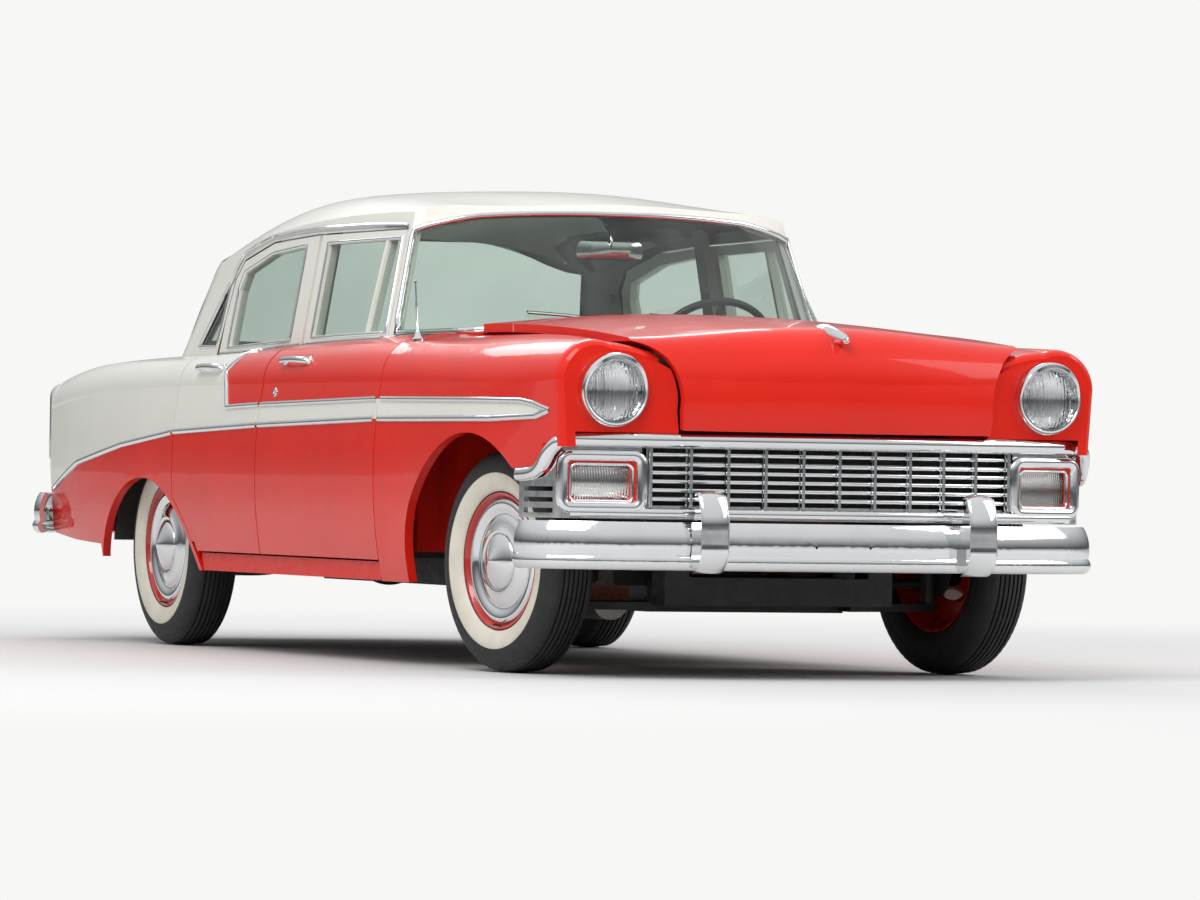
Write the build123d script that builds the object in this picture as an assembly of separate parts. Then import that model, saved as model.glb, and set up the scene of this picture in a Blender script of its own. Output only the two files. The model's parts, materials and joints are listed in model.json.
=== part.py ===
from build123d import *
import math
import os

os.makedirs("parts", exist_ok=True)

# A two-tone four-door saloon of the middle 1950s, in millimetres.
# The floor is Z = 0, the car faces -Y, and +X is the driver's (left) side.

# Driving dimensions
WHEELBASE = 2921.0
FRONT_AXLE_Y = -1680.5
REAR_AXLE_Y = FRONT_AXLE_Y + WHEELBASE
FRONT_TRACK = 1473.0
REAR_TRACK = 1496.0
STEER_AT_REST = 9.0
HALF_LENGTH = 2508.5

TYRE_RADIUS = 340.0
TYRE_WIDTH = 172.0
KINGPIN_INSET = 82.0

GAP = 5.0
SEAT = 0.4
DOOR_GLASS = 5.0
FENDER_WALL = 28.0
PILLAR_WALL = 34.0

# Shut lines of the doors, and their lower edge
DOOR_FRONT_Y = -940.0
DOOR_MIDDLE_Y = 110.0
DOOR_REAR_Y = 905.0
DOOR_LOW_Z = 328.0
ROCKER_LOW_Z = 262.0
DOOR_INNER_X = 796.0
DOOR_SILL_X = 724.0

HOOD_REAR_Y = -1150.0
HOOD_REAR_Z = 1092.0
TRUNK_FRONT_Y = 1640.0
TRUNK_FRONT_Z = 1002.0
TRUNK_HALF_WIDTH = 610.0

REAR_ARCH = (1218.0, 7.0, 560.0)


def arcs(points):
    """Edges along start, then pairs of (point passed, end)."""
    starts = range(0, len(points) - 2, 2)
    return [Edge.make_three_point_arc(*points[i:i + 3]) for i in starts]


def inset(points, depth):
    """The same half outline, moved inwards by depth along its normals."""
    moved = []
    for i, (a, b) in enumerate(points):
        a0, b0 = points[max(i - 1, 0)]
        a1, b1 = points[min(i + 1, len(points) - 1)]
        length = math.hypot(a1 - a0, b1 - b0)
        moved.append((a - depth * (b1 - b0) / length, b + depth * (a1 - a0) / length))
    return moved


def ring(y, outer, inner):
    """A closed wall section at station y, between an outer and an inner path."""
    out = [(x, y, z) for x, z in outer]
    back = [(x, y, z) for x, z in inner][::-1]
    edges = arcs(out) + [Edge.make_line(out[-1], back[0])]
    edges += arcs(back) + [Edge.make_line(back[-1], out[0])]
    return Face(Wire(edges))


def outline(place, items):
    """A face from points and (passed, end) arcs, each put in space by place."""
    edges = []
    last = items[0]
    for item in list(items[1:]) + [items[0]]:
        if isinstance(item[0], tuple):
            through, end = item
            edges.append(Edge.make_three_point_arc(place(last), place(through), place(end)))
            last = end
        else:
            if math.dist(last, item) > 1e-6:
                edges.append(Edge.make_line(place(last), place(item)))
            last = item
    return Face(Wire(edges))


def yz_prism(items, x0, x1):
    face = outline(lambda p: (x0, p[0], p[1]), items)
    return Solid.extrude(face, Vector(x1 - x0, 0, 0))


def xz_prism(items, y0, y1):
    face = outline(lambda p: (p[0], y0, p[1]), items)
    return Solid.extrude(face, Vector(0, y1 - y0, 0))


def xy_prism(items, z0, z1):
    face = outline(lambda p: (p[0], p[1], z0), items)
    return Solid.extrude(face, Vector(0, 0, z1 - z0))


def block(x, y, z):
    """A box from three (low, high) pairs."""
    return Pos(sum(x) / 2, sum(y) / 2, sum(z) / 2) * Box(x[1] - x[0], y[1] - y[0], z[1] - z[0])


def rod(start, end, radius):
    """A round bar between two points."""
    a, b = Vector(*start), Vector(*end)
    return Solid.make_cylinder(radius, (b - a).length, Plane(origin=a, z_dir=b - a))


def join(*pieces):
    whole = Part() + pieces[0]
    for piece in pieces[1:]:
        whole = whole + piece
    return whole


def mirrored(piece):
    return piece.mirror(Plane.YZ)


def write(name, shape):
    shape.label = name
    export_step(shape, f"parts/{name}.step")


# Body sides below the glass. Each row is a station: y, then the half section as
# low, passed, shoulder, passed, crest, passed, inner (x, z) points.
FENDER_FRONT = [(852, 262), (874, 640), (890, 890), (862, 965), (720, 1002), (640, 992), (560, 965)]
FENDER_FACE_Y = -2352.0
FENDER_ROUND_Y = -2318.0
# The rounded front edge: y, then how far the outline is drawn in
FENDER_ROUND = [(FENDER_FACE_Y, 20), (-2345, 9), (-2334, 3), (FENDER_ROUND_Y, 0)]
FENDER_SECTIONS = [
    (FENDER_ROUND_Y, FENDER_FRONT),
    (-2150, [(868, 262), (894, 620), (901, 880), (866, 972), (735, 1012), (660, 1010), (590, 1000)]),
    (-1680, [(882, 262), (914, 600), (905, 872), (872, 972), (770, 1020), (690, 1030), (610, 1036)]),
    (DOOR_FRONT_Y - GAP, [(885, 262), (921, 600), (897, 885), (878, 960), (830, 1010), (760, 1030), (690, 1044)]),
]
DOOR_SECTIONS = [
    (DOOR_FRONT_Y, [(885, 262), (921, 600), (897, 885), (878, 960), (830, 1010), (790, 1024), (745, 1034)]),
    (-200, [(886, 262), (923, 600), (898, 883), (880, 955), (836, 1000), (800, 1014), (762, 1024)]),
    (420, [(886, 262), (924, 600), (898, 880), (880, 945), (838, 985), (800, 994), (764, 998)]),
    (DOOR_REAR_Y, [(885, 262), (922, 600), (898, 876), (880, 938), (838, 972), (800, 980), (762, 984)]),
]
QUARTER_SECTIONS = [
    (DOOR_REAR_Y, [(885, 262), (922, 600), (898, 876), (880, 938), (838, 972), (770, 984), (690, 990)]),
    (1400, [(882, 262), (918, 600), (896, 866), (878, 930), (830, 964), (750, 978), (620, 988)]),
    (1900, [(866, 262), (903, 600), (886, 840), (868, 912), (805, 955), (720, 966), (600, 972)]),
    (2310, [(826, 262), (866, 600), (860, 800), (844, 872), (780, 915), (700, 930), (600, 936)]),
]


def body_side(sections, wall):
    faces = [ring(y, outer, inset(outer, wall)) for y, outer in sections]
    return loft(faces)


def door_slab():
    """The doors' lower halves in one length, flat on the inside."""
    faces = []
    for y, outer in DOOR_SECTIONS:
        sill_x, sill_z = DOOR_SILL_X, outer[-1][1]
        inner_low = (DOOR_INNER_X, outer[0][1])
        inner_top = (DOOR_INNER_X - 6, sill_z - 120)
        out = [(x, y, z) for x, z in outer]
        edges = arcs(out)
        for a, b in ((outer[-1], (sill_x, sill_z)),
                     ((sill_x, sill_z), (sill_x, sill_z - 60)),
                     ((sill_x, sill_z - 60), inner_top),
                     (inner_top, inner_low),
                     (inner_low, outer[0])):
            edges.append(Edge.make_line((a[0], y, a[1]), (b[0], y, b[1])))
        faces.append(Face(Wire(edges)))
    return loft(faces)


# The glasshouse: plan outlines at two heights, half of each, from the front centre
# round the wrapped windscreen corner, along the side and round the rear corner.
GLASSHOUSE = [
    (1040, [(0, -1097), (290, -1076), (540, -1000), (690, -860), (742, -640),
            (765, 250), (745, 1180), (705, 1340), (600, 1440), (320, 1500), (0, 1515)]),
    (1385, [(0, -738), (240, -728), (470, -690), (600, -640), (655, -575),
            (706, 200), (672, 1040), (640, 1120), (540, 1185), (290, 1225), (0, 1238)]),
]
GLASSHOUSE_LOW_Z = 950.0
GLASSHOUSE_HIGH_Z = 1560.0


def glasshouse(depth):
    """The solid inside the glass and pillar surface, moved inwards by depth."""
    (z0, low), (z1, high) = GLASSHOUSE
    wires = []
    for z in (GLASSHOUSE_LOW_Z, GLASSHOUSE_HIGH_Z):
        share = (z - z0) / (z1 - z0)
        half = [(a + (c - a) * share, b + (d - b) * share) for (a, b), (c, d) in zip(low, high)]
        moved = inset(half, depth)
        moved[0] = (0, moved[0][1])
        moved[-1] = (0, moved[-1][1])
        right = [(x, y, z) for x, y in moved]
        left = [(-x, y, z) for x, y in moved][::-1]
        wires.append(Face(Wire(arcs(right) + arcs(left))))
    return loft(wires, ruled=True)


# Roof sections: y, rail (x, z), edge (x, z), crown z
ROOF_SECTIONS = [
    (-1300, (660, 1376), (400, 1410), 1418),
    (-760, (690, 1392), (420, 1446), 1460),
    (-300, (716, 1402), (450, 1486), 1508),
    (220, (726, 1392), (470, 1508), 1537),
    (760, (722, 1338), (460, 1474), 1510),
    (1300, (716, 1222), (430, 1356), 1400),
    (1700, (700, 1150), (420, 1240), 1290),
]
ROOF_WALL = 30.0
ROOF_REACH = 900.0
ROOF_RAIL_ANGLE = 40.0
ROOF_LOW_Z = 900.0


def roof_form(depth):
    faces = []
    for y, (rail_x, rail_z), (edge_x, edge_z), crown in ROOF_SECTIONS:
        half = [(rail_x, y, rail_z - depth), (edge_x, y, edge_z - depth)]
        across = half + [(0, y, crown - depth)] + [(-a, b, c) for a, b, c in half[::-1]]
        lean = Vector(-1, 0, 0).rotate(Axis.Y, ROOF_RAIL_ANGLE)
        edges = [Edge.make_spline(across, tangents=[lean, Vector(lean.X, 0, -lean.Z)])]
        corners = [across[-1], (-ROOF_REACH, y, rail_z - depth), (-ROOF_REACH, y, ROOF_LOW_Z),
                   (ROOF_REACH, y, ROOF_LOW_Z), (ROOF_REACH, y, rail_z - depth), across[0]]
        edges += [Edge.make_line(a, b) for a, b in zip(corners, corners[1:])]
        faces.append(Face(Wire(edges)))
    return loft(faces)


# Side views of the doors, of their window frames and of their windows
DOOR_TOP_Z = 1100.0
FRONT_SLAB = [(DOOR_FRONT_Y, DOOR_LOW_Z), (DOOR_FRONT_Y, DOOR_TOP_Z), (DOOR_MIDDLE_Y - GAP, DOOR_TOP_Z),
              (DOOR_MIDDLE_Y - GAP, DOOR_LOW_Z)]
FRONT_FRAME = [(-618, 930), (-546, 1377), (DOOR_MIDDLE_Y - GAP, 1370), (DOOR_MIDDLE_Y - GAP, 930)]
REAR_SLAB = [(DOOR_MIDDLE_Y, DOOR_LOW_Z), (DOOR_MIDDLE_Y, DOOR_TOP_Z), (DOOR_REAR_Y, DOOR_TOP_Z),
             (DOOR_REAR_Y, 200), (700, 200), (700, DOOR_LOW_Z)]
REAR_FRAME = [(DOOR_MIDDLE_Y, 930), (DOOR_MIDDLE_Y, 1370), (520, 1352), (800, 1297), (862, 1235),
              (DOOR_REAR_Y - 6, 1020), (DOOR_REAR_Y, 930)]
REAR_HOLE = [(DOOR_MIDDLE_Y - GAP, 930), (DOOR_MIDDLE_Y - GAP, 1376), (522, 1358), (804, 1303), (869, 1237),
             (DOOR_REAR_Y - 1, 1020), (DOOR_REAR_Y + GAP, 960), (DOOR_REAR_Y + GAP, 930)]
FRONT_WINDOW = [(-575, 1052), (-518, 1345), (20, 1338), (20, 1040)]
REAR_WINDOW_SIDE = [(222, 1032), (215, 1334), (520, 1314), (770, 1256), (800, 1200), (800, 1012)]
QUARTER_WINDOW = [(936, 1018), (912, 1215), (930, 1224), (1110, 1018)]
VENT_BAR_Y = -425.0


def grown(points, amount):
    """A polygon moved outwards (or inwards if negative) on all sides."""
    turning = sum(a[0] * b[1] - b[0] * a[1] for a, b in zip(points, points[1:] + points[:1]))
    sign = 1 if turning > 0 else -1
    moved = []
    count = len(points)
    for i in range(count):
        (a, b), (c, d), (e, f) = points[i - 1], points[i], points[(i + 1) % count]
        n0 = Vector(d - b, a - c, 0).normalized() * sign
        n1 = Vector(f - d, c - e, 0).normalized() * sign
        half = (n0 + n1).normalized()
        reach = amount / max(half.dot(n0), 0.2)
        moved.append((c + half.X * reach, d + half.Y * reach))
    return moved


REAR_DOOR_ARCH = REAR_ARCH[2] + 28
arch_y, arch_z, arch_r = REAR_ARCH


def yz_disc(y, z, radius, x0, x1):
    plane = Plane(origin=(x0, y, z), z_dir=(1, 0, 0))
    return Solid.make_cylinder(radius, x1 - x0, plane)


# Left-side panels first (+X); the right side mirrors them.
HOUSE_OUT = glasshouse(0)
HOUSE_CLEAR = glasshouse(-SEAT)
HOUSE_IN = glasshouse(PILLAR_WALL)
ROOF_OUT = roof_form(0)
ROOF_IN = roof_form(ROOF_WALL)
shell = (HOUSE_OUT & ROOF_OUT) - (HOUSE_IN & ROOF_IN)

SIDE_X = (560.0, 1000.0)
HINGE_X = 925.0

# The post between the doors, inside their frames
B_POST = (70, 150)
POST_OUTER_X = 738.0
POST_WALL = 22.0


def door_panel(slab, frame, window, y0, y1, bevels):
    """One door: lower slab and window frame, bevelled where its rear edge swings past."""
    plan = [(SIDE_X[0], y0), (SIDE_X[1], y0), (SIDE_X[1], y1), (HINGE_X, y1)]
    plan += [(x, y1 - cut) for x, cut in bevels]
    plan = xy_prism(plan, 200, 1500)
    lower = DOORS & yz_prism(slab, *SIDE_X) & plan
    upper = shell & yz_prism(frame, *SIDE_X) & plan
    post_way = block((SIDE_X[0], POST_OUTER_X + GAP), (B_POST[0] - GAP, B_POST[1] + GAP), (900, 1100))
    return (lower - post_way) + upper - yz_prism(window, *SIDE_X)


DOORS = door_slab()
front_door = door_panel(FRONT_SLAB, FRONT_FRAME, FRONT_WINDOW, DOOR_FRONT_Y, DOOR_MIDDLE_Y - GAP,
                        ((DOOR_INNER_X, 12), (740, 17), (SIDE_X[0], 20)))
vent_bar = shell & block(SIDE_X, (VENT_BAR_Y - 9, VENT_BAR_Y + 9), (1030, 1360))
front_door = front_door + vent_bar
screen_corner = glasshouse(-GAP) & block(SIDE_X, (-1300, -500), (940, 1200))
front_door = front_door - (screen_corner - yz_prism(FRONT_FRAME, *SIDE_X))
rear_door = door_panel(REAR_SLAB, REAR_FRAME, REAR_WINDOW_SIDE, DOOR_MIDDLE_Y, DOOR_REAR_Y,
                       ((DOOR_INNER_X, 13), (740, 20), (SIDE_X[0], 26)))
rear_door = rear_door - block((SIDE_X[0], 748), (DOOR_REAR_Y - 40, DOOR_REAR_Y + 1), (880, 1000))
# The frame's inner edge is cut back where it swings past the rear pillar
REAR_SWING = [(790, 1310), (790, 1288), (852, 1228), (887, 1025), (887, 1000), (930, 1000), (930, 1310)]
rear_door = rear_door - (glasshouse(10) & yz_prism(REAR_SWING, *SIDE_X))
rear_door = rear_door - yz_disc(arch_y, arch_z, REAR_DOOR_ARCH, *SIDE_X)
rear_door = rear_door - yz_disc(arch_y, arch_z, REAR_DOOR_ARCH + 18, SIDE_X[0], 904)

glass_slab = (glasshouse(10) & ROOF_IN) - glasshouse(10 + DOOR_GLASS)
front_glass = glass_slab & yz_prism(grown(FRONT_WINDOW, -SEAT), *SIDE_X)
front_glass = front_glass - block(SIDE_X, (VENT_BAR_Y - 9 - SEAT, VENT_BAR_Y + 9 + SEAT), (1000, 1400))
rear_glass = glass_slab & yz_prism(grown(REAR_WINDOW_SIDE, -SEAT), *SIDE_X)

for side, flip in (("left", lambda s: s), ("right", mirrored)):
    write(f"front_door_{side}", flip(front_door))
    write(f"rear_door_{side}", flip(rear_door))
    write(f"front_door_glass_{side}", flip(front_glass))
    write(f"rear_door_glass_{side}", flip(rear_glass))

# The tunnel over the gearbox and the propeller shaft
TUNNEL_Z = 270.0
TUNNEL_RADIUS = 150.0
TUNNEL_WALL = 16.0


def tunnel(radius):
    return Solid.make_cylinder(radius, 2060, Plane(origin=(0, -1300, TUNNEL_Z), z_dir=(0, 1, 0)))


TUNNEL_IN = tunnel(TUNNEL_RADIUS - TUNNEL_WALL)

# Front fenders
FRONT_ARCH = [(-1160, 200), (-1160, 340), ((-1180, 430), (-1230, 520)), ((-1600, 722), (-2030, 628)),
              (-2090, 606), (-2240, 606), (-2290, 690), (-2500, 690), (-2500, 200)]
HOOD_EDGE = [(492, 600), (512, 800), ((524, 905), (556, 960)), ((592, 990), (640, 1008)), (640, 1200)]


def hood_prism(grow, y0, y1):
    right = [(HOOD_EDGE[0][0] + grow, HOOD_EDGE[0][1]), (HOOD_EDGE[1][0] + grow, HOOD_EDGE[1][1])]
    items = list(right)
    for (a, b), (c, d) in HOOD_EDGE[2:4]:
        items.append(((a + grow, b), (c + grow, d)))
    items.append((HOOD_EDGE[4][0] + grow, HOOD_EDGE[4][1]))
    left = [(-HOOD_EDGE[4][0] - grow, HOOD_EDGE[4][1]), (-HOOD_EDGE[3][1][0] - grow, HOOD_EDGE[3][1][1])]
    items += left
    items.append(((-HOOD_EDGE[3][0][0] - grow, HOOD_EDGE[3][0][1]), (-HOOD_EDGE[2][1][0] - grow, HOOD_EDGE[2][1][1])))
    items.append(((-HOOD_EDGE[2][0][0] - grow, HOOD_EDGE[2][0][1]), (-HOOD_EDGE[1][0] - grow, HOOD_EDGE[1][1])))
    items.append((-HOOD_EDGE[0][0] - grow, HOOD_EDGE[0][1]))
    return xz_prism(items, y0, y1)


HEADLAMP = (717.0, 857.0)
BUCKET_RADIUS = 104.0
fender = body_side(FENDER_SECTIONS, FENDER_WALL)
collar = [ring(y, inset(FENDER_FRONT, depth), inset(FENDER_FRONT, depth + FENDER_WALL)) for y, depth in FENDER_ROUND]
fender = fender + loft(collar, ruled=True)
face_plate = xz_prism([(500, 735), (856, 735), (866, 889), ((844, 944), (716, 976)), (644, 966), (566, 940),
                       (500, 905)], -2400, -2300)
face_plan = [(500, -2384), (640, -2362), (740, FENDER_FACE_Y), (900, FENDER_FACE_Y), (900, FENDER_FACE_Y + FENDER_WALL),
             (500, FENDER_FACE_Y + FENDER_WALL)]
face_plate = face_plate & xy_prism(face_plan, 700, 1010)
bucket = Solid.make_cylinder(BUCKET_RADIUS, 200, Plane(origin=(HEADLAMP[0], -2400, HEADLAMP[1]), z_dir=(0, 1, 0)))
fender = fender + face_plate - bucket
fender = fender - yz_prism(FRONT_ARCH, *SIDE_X) - hood_prism(GAP, -2600, HOOD_REAR_Y - 0.01)
fender = fender - block((0, 640 + GAP), (HOOD_REAR_Y - 1, -900), (900, 1200)) - HOUSE_CLEAR
for side, flip in (("left", lambda s: s), ("right", mirrored)):
    write(f"front_fender_{side}", flip(fender))

# Hood, lofted across the car from side views: x, then nose foot, nose passed, nose top,
# passed, brow, passed, rear (y, z) points
HOOD_SECTIONS = [
    (680, [(-2345, 746), (-2352, 830), (-2345, 900), (-2325, 965), (-2250, 995), (-1700, 1030), (HOOD_REAR_Y, 1040)]),
    (420, [(-2396, 746), (-2406, 820), (-2402, 890), (-2372, 970), (-2290, 1010), (-1750, 1050), (HOOD_REAR_Y, 1066)]),
    (0, [(-2421, 746), (-2432, 815), (-2430, 885), (-2400, 985), (-2310, 1036), (-1780, 1070), (HOOD_REAR_Y, 1088)]),
]
HOOD_WALL = 26.0


def hood_face(x, outer):
    inner = inset([(-a, b) for a, b in outer], -HOOD_WALL)
    inner = [(-a, b) for a, b in inner]
    out = [(x, y, z) for y, z in outer]
    back = [(x, y, z) for y, z in inner][::-1]
    edges = arcs(out) + [Edge.make_line(out[-1], back[0])]
    edges += arcs(back) + [Edge.make_line(back[-1], out[0])]
    return Face(Wire(edges))


hood_faces = [hood_face(x, path) for x, path in HOOD_SECTIONS]
hood_faces += [hood_face(-x, path) for x, path in HOOD_SECTIONS[:-1]][::-1]
hood = loft(hood_faces) & hood_prism(0, -2600, HOOD_REAR_Y)
ornament = Solid.make_cone(26, 6, 170, Plane(origin=(0, -2290, 1046), z_dir=(0, -1, -0.16)))
hood = hood + ornament
write("hood", hood)

# Cowl between hood and windscreen, with the firewall below it
cowl_faces = []
for y, x_edge, z_edge, z_mid in ((HOOD_REAR_Y + GAP, 640, 1042, 1088), (-900, 700, 1040, 1085)):
    top = [(x_edge, y, z_edge), (x_edge / 2, y, z_mid - 8), (0, y, z_mid), (-x_edge / 2, y, z_mid - 8),
           (-x_edge, y, z_edge)]
    low = [(x, y, z - 26) for x, y, z in top][::-1]
    edges = arcs(top) + [Edge.make_line(top[-1], low[0])] + arcs(low) + [Edge.make_line(low[-1], top[0])]
    cowl_faces.append(Face(Wire(edges)))
cowl = loft(cowl_faces, ruled=True) - HOUSE_CLEAR
cowl = cowl & block((-640, 640), (-1300, -600), (900, 1200))
firewall = block((-620, 620), (HOOD_REAR_Y + GAP + 4, HOOD_REAR_Y + 40), (336, 1035)) - TUNNEL_IN
cowl = cowl + firewall
for side in (-1, 1):
    cowl = cowl + block(sorted((side * 600, side * 715)), (HOOD_REAR_Y + 12, HOOD_REAR_Y + 40), (355, 990))
    cowl = cowl + block(sorted((side * 695, side * 715)), (HOOD_REAR_Y + 12, -960), (355, 990))
    cowl = cowl + block(sorted((side * 695, side * 785)), (-985, -960), (355, 900))
cowl = cowl - HOUSE_CLEAR
write("cowl", cowl)

# Rear quarters
quarter = body_side(QUARTER_SECTIONS, FENDER_WALL)
UNDER_TAIL = [(1700, 200), (1700, 335), (1997, 345), (2400, 372), (2400, 200)]
tail_wall = xz_prism([(560, 372), (842, 372), (860, 600), (856, 800), ((836, 880), (780, 912)), (600, 934),
                      (560, 934)], 2310, 2310 + FENDER_WALL)
quarter = quarter + tail_wall
quarter = quarter - yz_disc(arch_y, arch_z, arch_r, *SIDE_X) - yz_prism(UNDER_TAIL, *SIDE_X)
quarter = quarter - yz_disc(arch_y, arch_z, arch_r, *SIDE_X)
shut = yz_prism([(DOOR_REAR_Y - 50, 200), (DOOR_REAR_Y - 50, 1100), (DOOR_REAR_Y + GAP, 1100),
                 (DOOR_REAR_Y + GAP, 200)], *SIDE_X)
quarter = quarter - shut
jamb = body_side([(600, DOOR_SECTIONS[3][1]), (DOOR_REAR_Y + 60, DOOR_SECTIONS[3][1])], FENDER_WALL)
jamb = jamb & yz_disc(arch_y, arch_z, REAR_DOOR_ARCH - GAP, *SIDE_X)
jamb = jamb - yz_disc(arch_y, arch_z, arch_r, *SIDE_X) - block(SIDE_X, (0, 2000), (0, ROCKER_LOW_Z + 1))
quarter = quarter + jamb - HOUSE_CLEAR
quarter = quarter - block((0, TRUNK_HALF_WIDTH + GAP), (TRUNK_FRONT_Y - GAP, 2600), (400, 1100))
for side, flip in (("left", lambda s: s), ("right", mirrored)):
    write(f"quarter_{side}", flip(quarter))

# Deck behind the rear window, and the trunk lid
TAIL_PANEL_Y = 2311.0
DECK_SECTIONS = [
    (1180, 690, 985, 1004),
    (TRUNK_FRONT_Y - GAP, 612, 984, 1000),
]
deck_faces = []
for y, x_edge, z_edge, z_mid in DECK_SECTIONS:
    top = [(x_edge, y, z_edge), (x_edge / 2, y, z_mid - 4), (0, y, z_mid), (-x_edge / 2, y, z_mid - 4),
           (-x_edge, y, z_edge)]
    low = [(x, y, z - 24) for x, y, z in top][::-1]
    edges = arcs(top) + [Edge.make_line(top[-1], low[0])] + arcs(low) + [Edge.make_line(low[-1], top[0])]
    deck_faces.append(Face(Wire(edges)))
deck = loft(deck_faces, ruled=True) - HOUSE_CLEAR
deck = deck & block((-900, 900), (1300, 1700), (900, 1100))
deck = deck - quarter - mirrored(quarter)
tail_panel = block((-TRUNK_HALF_WIDTH + 50, TRUNK_HALF_WIDTH - 50), (TAIL_PANEL_Y, TAIL_PANEL_Y + 24), (436, 560))
write("rear_deck", deck + tail_panel)

LID_SECTIONS = [
    (TRUNK_HALF_WIDTH, [(TRUNK_FRONT_Y, 984), (1900, 974), (2230, 940), (2310, 915), (2350, 850), (2372, 700), (2380, 570)]),
    (0, [(TRUNK_FRONT_Y, 1000), (1900, 992), (2240, 962), (2330, 930), (2372, 860), (2396, 700), (2404, 570)]),
]


def lid_face(x, path, depth=0.0, wall=HOOD_WALL):
    outer, inner = [[(a, -b) for a, b in inset([(a, -b) for a, b in path], d)] for d in (depth, depth + wall)]
    out = [(x, y, z) for y, z in outer]
    back = [(x, y, z) for y, z in inner][::-1]
    edges = arcs(out) + [Edge.make_line(out[-1], back[0])]
    edges += arcs(back) + [Edge.make_line(back[-1], out[0])]
    return Face(Wire(edges))


lid_faces = [lid_face(x, path) for x, path in LID_SECTIONS]
lid_faces += [lid_face(-LID_SECTIONS[0][0], LID_SECTIONS[0][1])]
write("trunk_lid", loft(lid_faces))

# Roof with its pillars, windscreen and rear window
roof = shell
for opening in (grown(FRONT_FRAME, GAP), REAR_HOLE):
    for x0, x1 in ((560, 1000), (-1000, -560)):
        roof = roof - yz_prism(opening, x0, x1)
post = xz_prism([(POST_OUTER_X, 952), (644, 1500), (644 - POST_WALL, 1500), (POST_OUTER_X - POST_WALL, 952)],
                *B_POST) & ROOF_OUT
roof = roof + post + mirrored(post)
SCREEN = [(-1300, 1020), (-1300, 1500), (-742, 1500), (-704, 1458), (-574, 1374), (-640, 1040), (-652, 1020)]
roof = roof - yz_prism(SCREEN, -1000, 1000)
BACKLIGHT = [(1265, 1030), (1095, 1330), (1180, 1405), (1400, 1405), (1700, 1200), (1700, 1030)]
roof = roof - yz_prism(BACKLIGHT, -700, 700)
for x0, x1 in ((560, 1000), (-1000, -560)):
    roof = roof - yz_prism(QUARTER_WINDOW, x0, x1)
write("roof", roof)

full_slab = (glasshouse(6) & roof_form(8)) - glasshouse(13)
windscreen = full_slab & yz_prism(grown(SCREEN, -SEAT), -1000, 1000)
write("windshield", windscreen)
back_glass = full_slab & yz_prism(grown(BACKLIGHT, -SEAT), -700 + SEAT, 700 - SEAT)
pane = full_slab & yz_prism(grown(QUARTER_WINDOW, -SEAT), *SIDE_X)
write("rear_glass", Compound([back_glass, pane, mirrored(pane)]))


# Front face: the grille, lamps and bars follow one arc in plan
NOSE_Y = -2421.0
NOSE_RADIUS = 2950.0


def nose_y(x, back=0.0):
    return NOSE_Y + back + NOSE_RADIUS - math.sqrt(NOSE_RADIUS ** 2 - x * x)


def nose_band(x, z, front, depth):
    """A bar that follows the nose arc: x and z are (low, high), front is how far it sits back."""
    x0, x1 = x
    mid = (x0 + x1) / 2
    face = outline(lambda p: (p[0], p[1], z[0]), [
        (x0, nose_y(x0, front)), ((mid, nose_y(mid, front)), (x1, nose_y(x1, front))),
        (x1, nose_y(x1, front + depth)), ((mid, nose_y(mid, front + depth)), (x0, nose_y(x0, front + depth)))])
    return Solid.extrude(face, Vector(0, 0, z[1] - z[0]))


CORNER_PLAN = [(851, -2300), ((889, -2236), (909, -2110)), (895, -2110), ((876, -2230), (840, -2288))]
CORNER_SIDE = [(-2310, 478), (-2310, 686), (-2292, 686), (-2242, 602), (-2110, 602), (-2110, 478)]
CORNER_SLOTS = (500, 532, 564)
GRILLE_HALF = 594.0
BAR_HEIGHTS = (514, 540, 566, 592, 618, 644, 670)
POST_PITCH = 118.5
grille_parts = [nose_band((-851, 851), (690, 734), -4, 50), nose_band((-851, 851), (478, 508), 0, 46)]
for z in BAR_HEIGHTS:
    grille_parts.append(nose_band((-GRILLE_HALF, GRILLE_HALF), (z - 4, z + 5), 12, 12))
for index in range(-5, 6):
    x = index * POST_PITCH
    grille_parts.append(nose_band((x - 6, x + 6), (500, 700), 14, 16))
LAMP_X = (625, 838)
LAMP_Z = (520, 650)
for side in (-1, 1):
    low, high = sorted((side * LAMP_X[0], side * LAMP_X[1]))
    frame = nose_band((low - 12, high + 12), (508, 690), 10, 60)
    frame = frame - nose_band((low, high), LAMP_Z, -5, 50)
    grille_parts.append(frame)
    x = side * HEADLAMP[0]
    rim = Solid.make_cylinder(BUCKET_RADIUS - SEAT, 64, Plane(origin=(x, -2388, HEADLAMP[1]), z_dir=(0, 1, 0)))
    rim = rim - Solid.make_cylinder(BUCKET_RADIUS - 13, 60, Plane(origin=(x, -2390, HEADLAMP[1]), z_dir=(0, 1, 0)))
    grille_parts.append(rim)
for side in (-1, 1):
    wrap = xy_prism(CORNER_PLAN, 478, 690) & yz_prism(CORNER_SIDE, *SIDE_X)
    for z in CORNER_SLOTS:
        wrap = wrap - block((840, 960), (-2275, -2150), (z - 7, z + 7))
    grille_parts.append(wrap if side > 0 else mirrored(wrap))
grille = join(*grille_parts)
write("grille", grille)

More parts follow.
